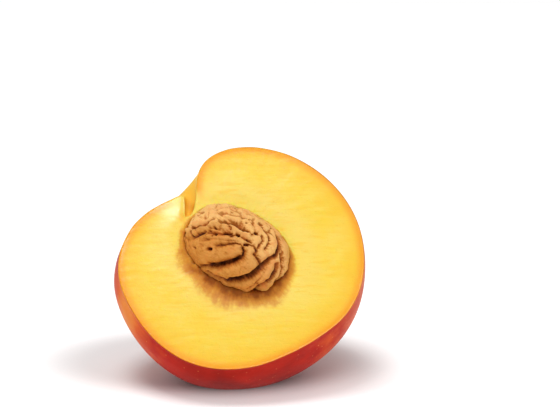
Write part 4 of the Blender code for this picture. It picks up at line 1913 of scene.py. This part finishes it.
    def face_points(self, border: np.ndarray) -> np.ndarray:
        """Spread points over the cut face: rings round the stone, then an even net.

        Args:
            border: The corners of the face's border.

        Returns:
            The places in the face, mm.
        """
        pitch = self.face_pitch
        off_stone, off_skin = self.net_gaps
        low, high = border.min(axis=0), border.max(axis=0)
        rows = np.arange(low[1], high[1], pitch * TRIANGLE_ROWS)
        spots = [(across + (index % 2) * pitch / 2.0, row)
                 for index, row in enumerate(rows) for across in np.arange(low[0], high[0], pitch)]
        net = np.array(spots)
        net = net[self.rim_gap(net) > self.rim_steps[-1] + pitch * off_stone]
        rings = []
        for index, step in enumerate(self.rim_steps):
            turns = np.linspace(0.0, 2.0 * math.pi, self.rim_points, endpoint=False)
            turns += (index + 1) % 2 * math.pi / self.rim_points
            ways = np.column_stack([np.cos(turns), np.sin(turns), np.zeros_like(turns)])
            points = ways * self.stone.form.reach(ways, step)[:, None]
            rings.append(self.stone.form.to_face(points)[:, :2])
        net = np.vstack([*rings, net])
        net = net[self.inside(net, border)]
        return net[self.edge_gap(net, border) > pitch * off_skin]

    def raise_flesh(self, points: np.ndarray, border: np.ndarray) -> np.ndarray:
        """Lift and sink points of the cut face as torn and cut flesh does.

        Args:
            points: Points of the flat cut, in the face's frame.
            border: The corners of the face's border.

        Returns:
            The points, moved.
        """
        rim = np.maximum(self.rim_gap(points[:, :2]), 0.0)
        skin = self.edge_gap(points[:, :2], border)
        fibres = cloud(self.fibre_run(points), 1.0, self.fibre_shift)
        coarse = self.coarse.sample(points)
        lift = np.zeros(len(points))
        for swell in self.flesh_swells:
            lift += swell.height * swell.sample(points)
        lift += (self.fibre_height + self.torn_height * mound(rim, self.torn_width)) * fibres
        deep, gap, width = self.ditch
        even, patchy = self.ditch_patches
        lift -= deep * mound(rim - gap, width) * (even + patchy * coarse)
        high, width = self.lip
        even, patchy = self.lip_patches
        lift += high * mound(rim, width) * (even + patchy * coarse)
        lift *= smooth_step(skin, 0.0, self.flat_edge)
        lift += self.pulled_up(points[:, :2], border)
        away = smooth_step(-(points @ self.cut.stem), *self.bevel_heights)
        deep, width = self.bevel
        lift -= deep * mound(skin, width) * away
        raised = points.copy()
        raised[:, 2] = lift
        return raised

    def pulled_up(self, spots: np.ndarray, border: np.ndarray) -> np.ndarray:
        """Find how far the lobe beside the notch stands up, with a rounded edge.

        Args:
            spots: Places in the face, mm.
            border: The corners of the face's border.

        Returns:
            The heights, mm.
        """
        offset = (spots - np.array(self.pull_centre)) / np.array(self.pull_size)
        inward = np.clip(self.soft_edge_gap(spots, border) / self.pull_edge, 0.0, 1.0)
        rounding = 1.0 - (1.0 - inward) ** 3
        return self.pull_height * np.exp(-(offset**2).sum(axis=1)) * rounding

    def halo_and_shade(self, points: np.ndarray) -> np.ndarray:
        """Find how brown the flesh is near the stone: real browning, widened and strengthened
        below the stone as painted shade.

        Args:
            points: Points in the face's frame.

        Returns:
            The stain's strength at each point.
        """
        offset = points[:, :2] - np.array(self.stone.form.centre[:2])
        turn = np.arctan2(offset[:, 1], offset[:, 0])
        right, up = np.cos(turn), np.sin(turn)
        even, below, ends, leftwards = self.halo_width
        # The terms for below widen the halo under the stone: painted shade.
        width = even - below * up - ends * right**2 - leftwards * right
        ragged, size, shift = self.halo_ragged
        width *= 1.0 + ragged * cloud(np.column_stack([right, up, turn * 0.0]), size, shift)
        even, below = self.halo_strength
        patches = 1.0 + self.halo_patches.height * self.halo_patches.sample(points)
        # The term for below strengthens it under the stone: painted shade.
        strength = (even - below * up) * patches
        gap = np.maximum(self.rim_gap(points[:, :2]), 0.0)
        return strength * np.maximum(0.0, 1.0 - gap / np.maximum(width, self.halo_least))

    def fibre_run(self, points: np.ndarray) -> np.ndarray:
        """Find places that change fast round the stone and slowly away from it.

        Args:
            points: Points in the face's frame.

        Returns:
            The places.
        """
        local = self.stone.form.from_face(points)
        length = np.linalg.norm(local[:, :2], axis=1)
        safe = np.maximum(length, NEAR_NOTHING)
        round_it, away = self.fibres
        parts = [local[:, 0] / safe * round_it, local[:, 1] / safe * round_it, length * away]
        return np.column_stack(parts)

    def settle(self, points: np.ndarray) -> np.ndarray:
        """Stand the fruit on the floor, its underside pressed flat.

        Args:
            points: Points in the face's frame, mm.

        Returns:
            The points in the model's frame, mm.
        """
        places = self.cut.to_model(points)
        height = places[:, 2]
        places[:, 2] = 0.5 * (height + np.sqrt(height**2 + self.softness**2))
        return places

    def measure(self, piece: bpy.types.Object, rings: np.ndarray) -> None:
        """Store what the finishes need to know about each point.

        Args:
            piece: The dressed half.
            rings: The skin's points.
        """
        points = np.vstack(self.draft.points)
        border = np.vstack([rings[:, 0], rings[::-1, -1]])[:, :2]
        heights = points @ self.cut.stem
        sides = points @ self.cut.side
        carry(piece, Place.FRUIT, np.column_stack([heights, sides, -points[:, 2]]))
        carry(piece, Place.FIBRE, self.fibre_run(points))
        carry(piece, Place.FROM_SKIN, self.edge_gap(points[:, :2], border))
        gap = self.rim_gap(points[:, :2])
        sunk = points[:, 2] < -self.sunk_depth
        gap[sunk] = self.sunk_gap
        carry(piece, Place.FROM_STONE, gap)
        # Points in the hollow take the halo's darkest colour: painted shade.
        carry(piece, Place.HALO_AND_SHADE, np.where(sunk, 1.0, self.halo_and_shade(points)))


@dataclass(frozen=True)
class SoftLight:
    """A soft square light.

    Attributes:
        name: Its name.
        place: Where it hangs, m.
        size: Its side, m.
        power: Its power, watts.
    """

    name: str
    place: Triple
    size: float
    power: float

    def hang(self, aim: Vector) -> None:
        """Hang the light so that it faces a point.

        Args:
            aim: The point, m.
        """
        data = bpy.data.lights.new(self.name, "AREA")
        data.size = self.size
        data.energy = self.power
        light = bpy.data.objects.new(self.name, data)
        light.location = self.place
        light.rotation_euler = (aim - light.location).to_track_quat("-Z", "Y").to_euler()
        bpy.context.scene.collection.objects.link(light)


@dataclass
class Studio:
    """White floor, soft lights and the camera.

    Attributes:
        cut: The frame of the cut face.
        elevation: How far the camera looks down.
        distance: Its distance from the cut face's middle, mm.
        picture: The picture's width and height in pixels.
        face_pixel: Where in the picture the cut face's middle lies, from the top left.
        pixel_size: The size of a pixel at the cut face, mm.
        sensor: The width of the camera's sensor, mm.
        clip_start: Where the camera starts to see, m.
        floor_size: The floor's side, m.
        lights: The lights.
        world_strength: How bright the surroundings are.
    """

    cut: CutFrame
    elevation: float = math.radians(16.0)
    distance: float = 800.0
    picture: tuple[int, int] = (560, 407)
    face_pixel: Pair = (240.5, 257.5)
    pixel_size: float = 0.2823
    sensor: float = 36.0
    clip_start: float = 0.01
    floor_size: float = 8.0
    lights: tuple[SoftLight, ...] = (
        SoftLight("key_light", (-0.18, -0.2, 1.0), 0.4, 5.4),
        SoftLight("front_light", (0.15, -1.0, 0.2), 0.7, 0.5),
    )
    world_strength: float = 0.54

    def place_camera(self) -> None:
        """Put the camera where the cut face is seen as foreshortened as it should be."""
        out = np.array([0.0, -math.cos(self.elevation), math.sin(self.elevation)])
        up = np.array([0.0, math.sin(self.elevation), math.cos(self.elevation)])
        right = np.array([1.0, 0.0, 0.0])
        width, height = self.picture
        aside = (width / 2.0 - self.face_pixel[0]) * self.pixel_size
        above = (self.face_pixel[1] - height / 2.0) * self.pixel_size
        centre = np.array(self.cut.centre)
        target = Vector((centre + right * aside + up * above) * MM)
        data = bpy.data.cameras.new("camera")
        data.sensor_width = self.sensor
        data.lens = self.sensor * self.distance / (width * self.pixel_size)
        data.clip_start = self.clip_start
        camera = bpy.data.objects.new("camera", data)
        camera.location = Vector((centre + out * self.distance) * MM)
        camera.rotation_euler = (target - camera.location).to_track_quat("-Z", "Y").to_euler()
        bpy.context.scene.collection.objects.link(camera)
        bpy.context.scene.camera = camera

    def lay_floor(self, finish: bpy.types.Material) -> None:
        """Lay the floor under the fruit.

        Args:
            finish: The floor's material.
        """
        half = self.floor_size / 2.0
        corners = [(-half, -half, 0.0), (half, -half, 0.0), (half, half, 0.0), (-half, half, 0.0)]
        mesh = bpy.data.meshes.new("floor")
        mesh.from_pydata(corners, [], [(0, 1, 2, 3)])
        mesh.materials.append(finish)
        floor = bpy.data.objects.new("floor", mesh)
        bpy.context.scene.collection.objects.link(floor)

    def build(self, finish: bpy.types.Material) -> None:
        """Set the floor, the lights, the world and the camera.

        Args:
            finish: The floor's material.
        """
        self.lay_floor(finish)
        for light in self.lights:
            light.hang(Vector(self.cut.centre) * MM)
        world = bpy.data.worlds.new("studio_world")
        world.use_nodes = True
        background = world.node_tree.nodes["Background"]
        background.inputs["Color"].default_value = (1.0, 1.0, 1.0, 1.0)
        background.inputs["Strength"].default_value = self.world_strength
        bpy.context.scene.world = world
        bpy.context.scene.view_settings.view_transform = "Standard"
        self.place_camera()


def report(piece: bpy.types.Object) -> None:
    """Log a piece and how many faces it has."""
    LOG.info("%s: %d faces", piece.name, len(piece.data.polygons))


def main() -> None:
    """Build the pieces, dress them and report each one."""
    logging.basicConfig(level=logging.INFO, format="%(name)s: %(message)s")
    kit = EffectKit()
    cut = CutFrame()
    peach_stone = PeachStone(cut, StoneForm())
    half = FruitHalf(cut, FruitOutline(), peach_stone)
    fruit = half.build(SkinFinish().build(kit), FleshFinish().build(kit))
    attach(fruit, "root")
    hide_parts("fruit_half")
    report(fruit)
    stone = peach_stone.build(StoneFinish().build(kit))
    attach(stone, "root")
    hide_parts("peach_stone")
    report(stone)
    Studio(cut).build(FloorFinish().build())


if __name__ == "__main__":
    main()
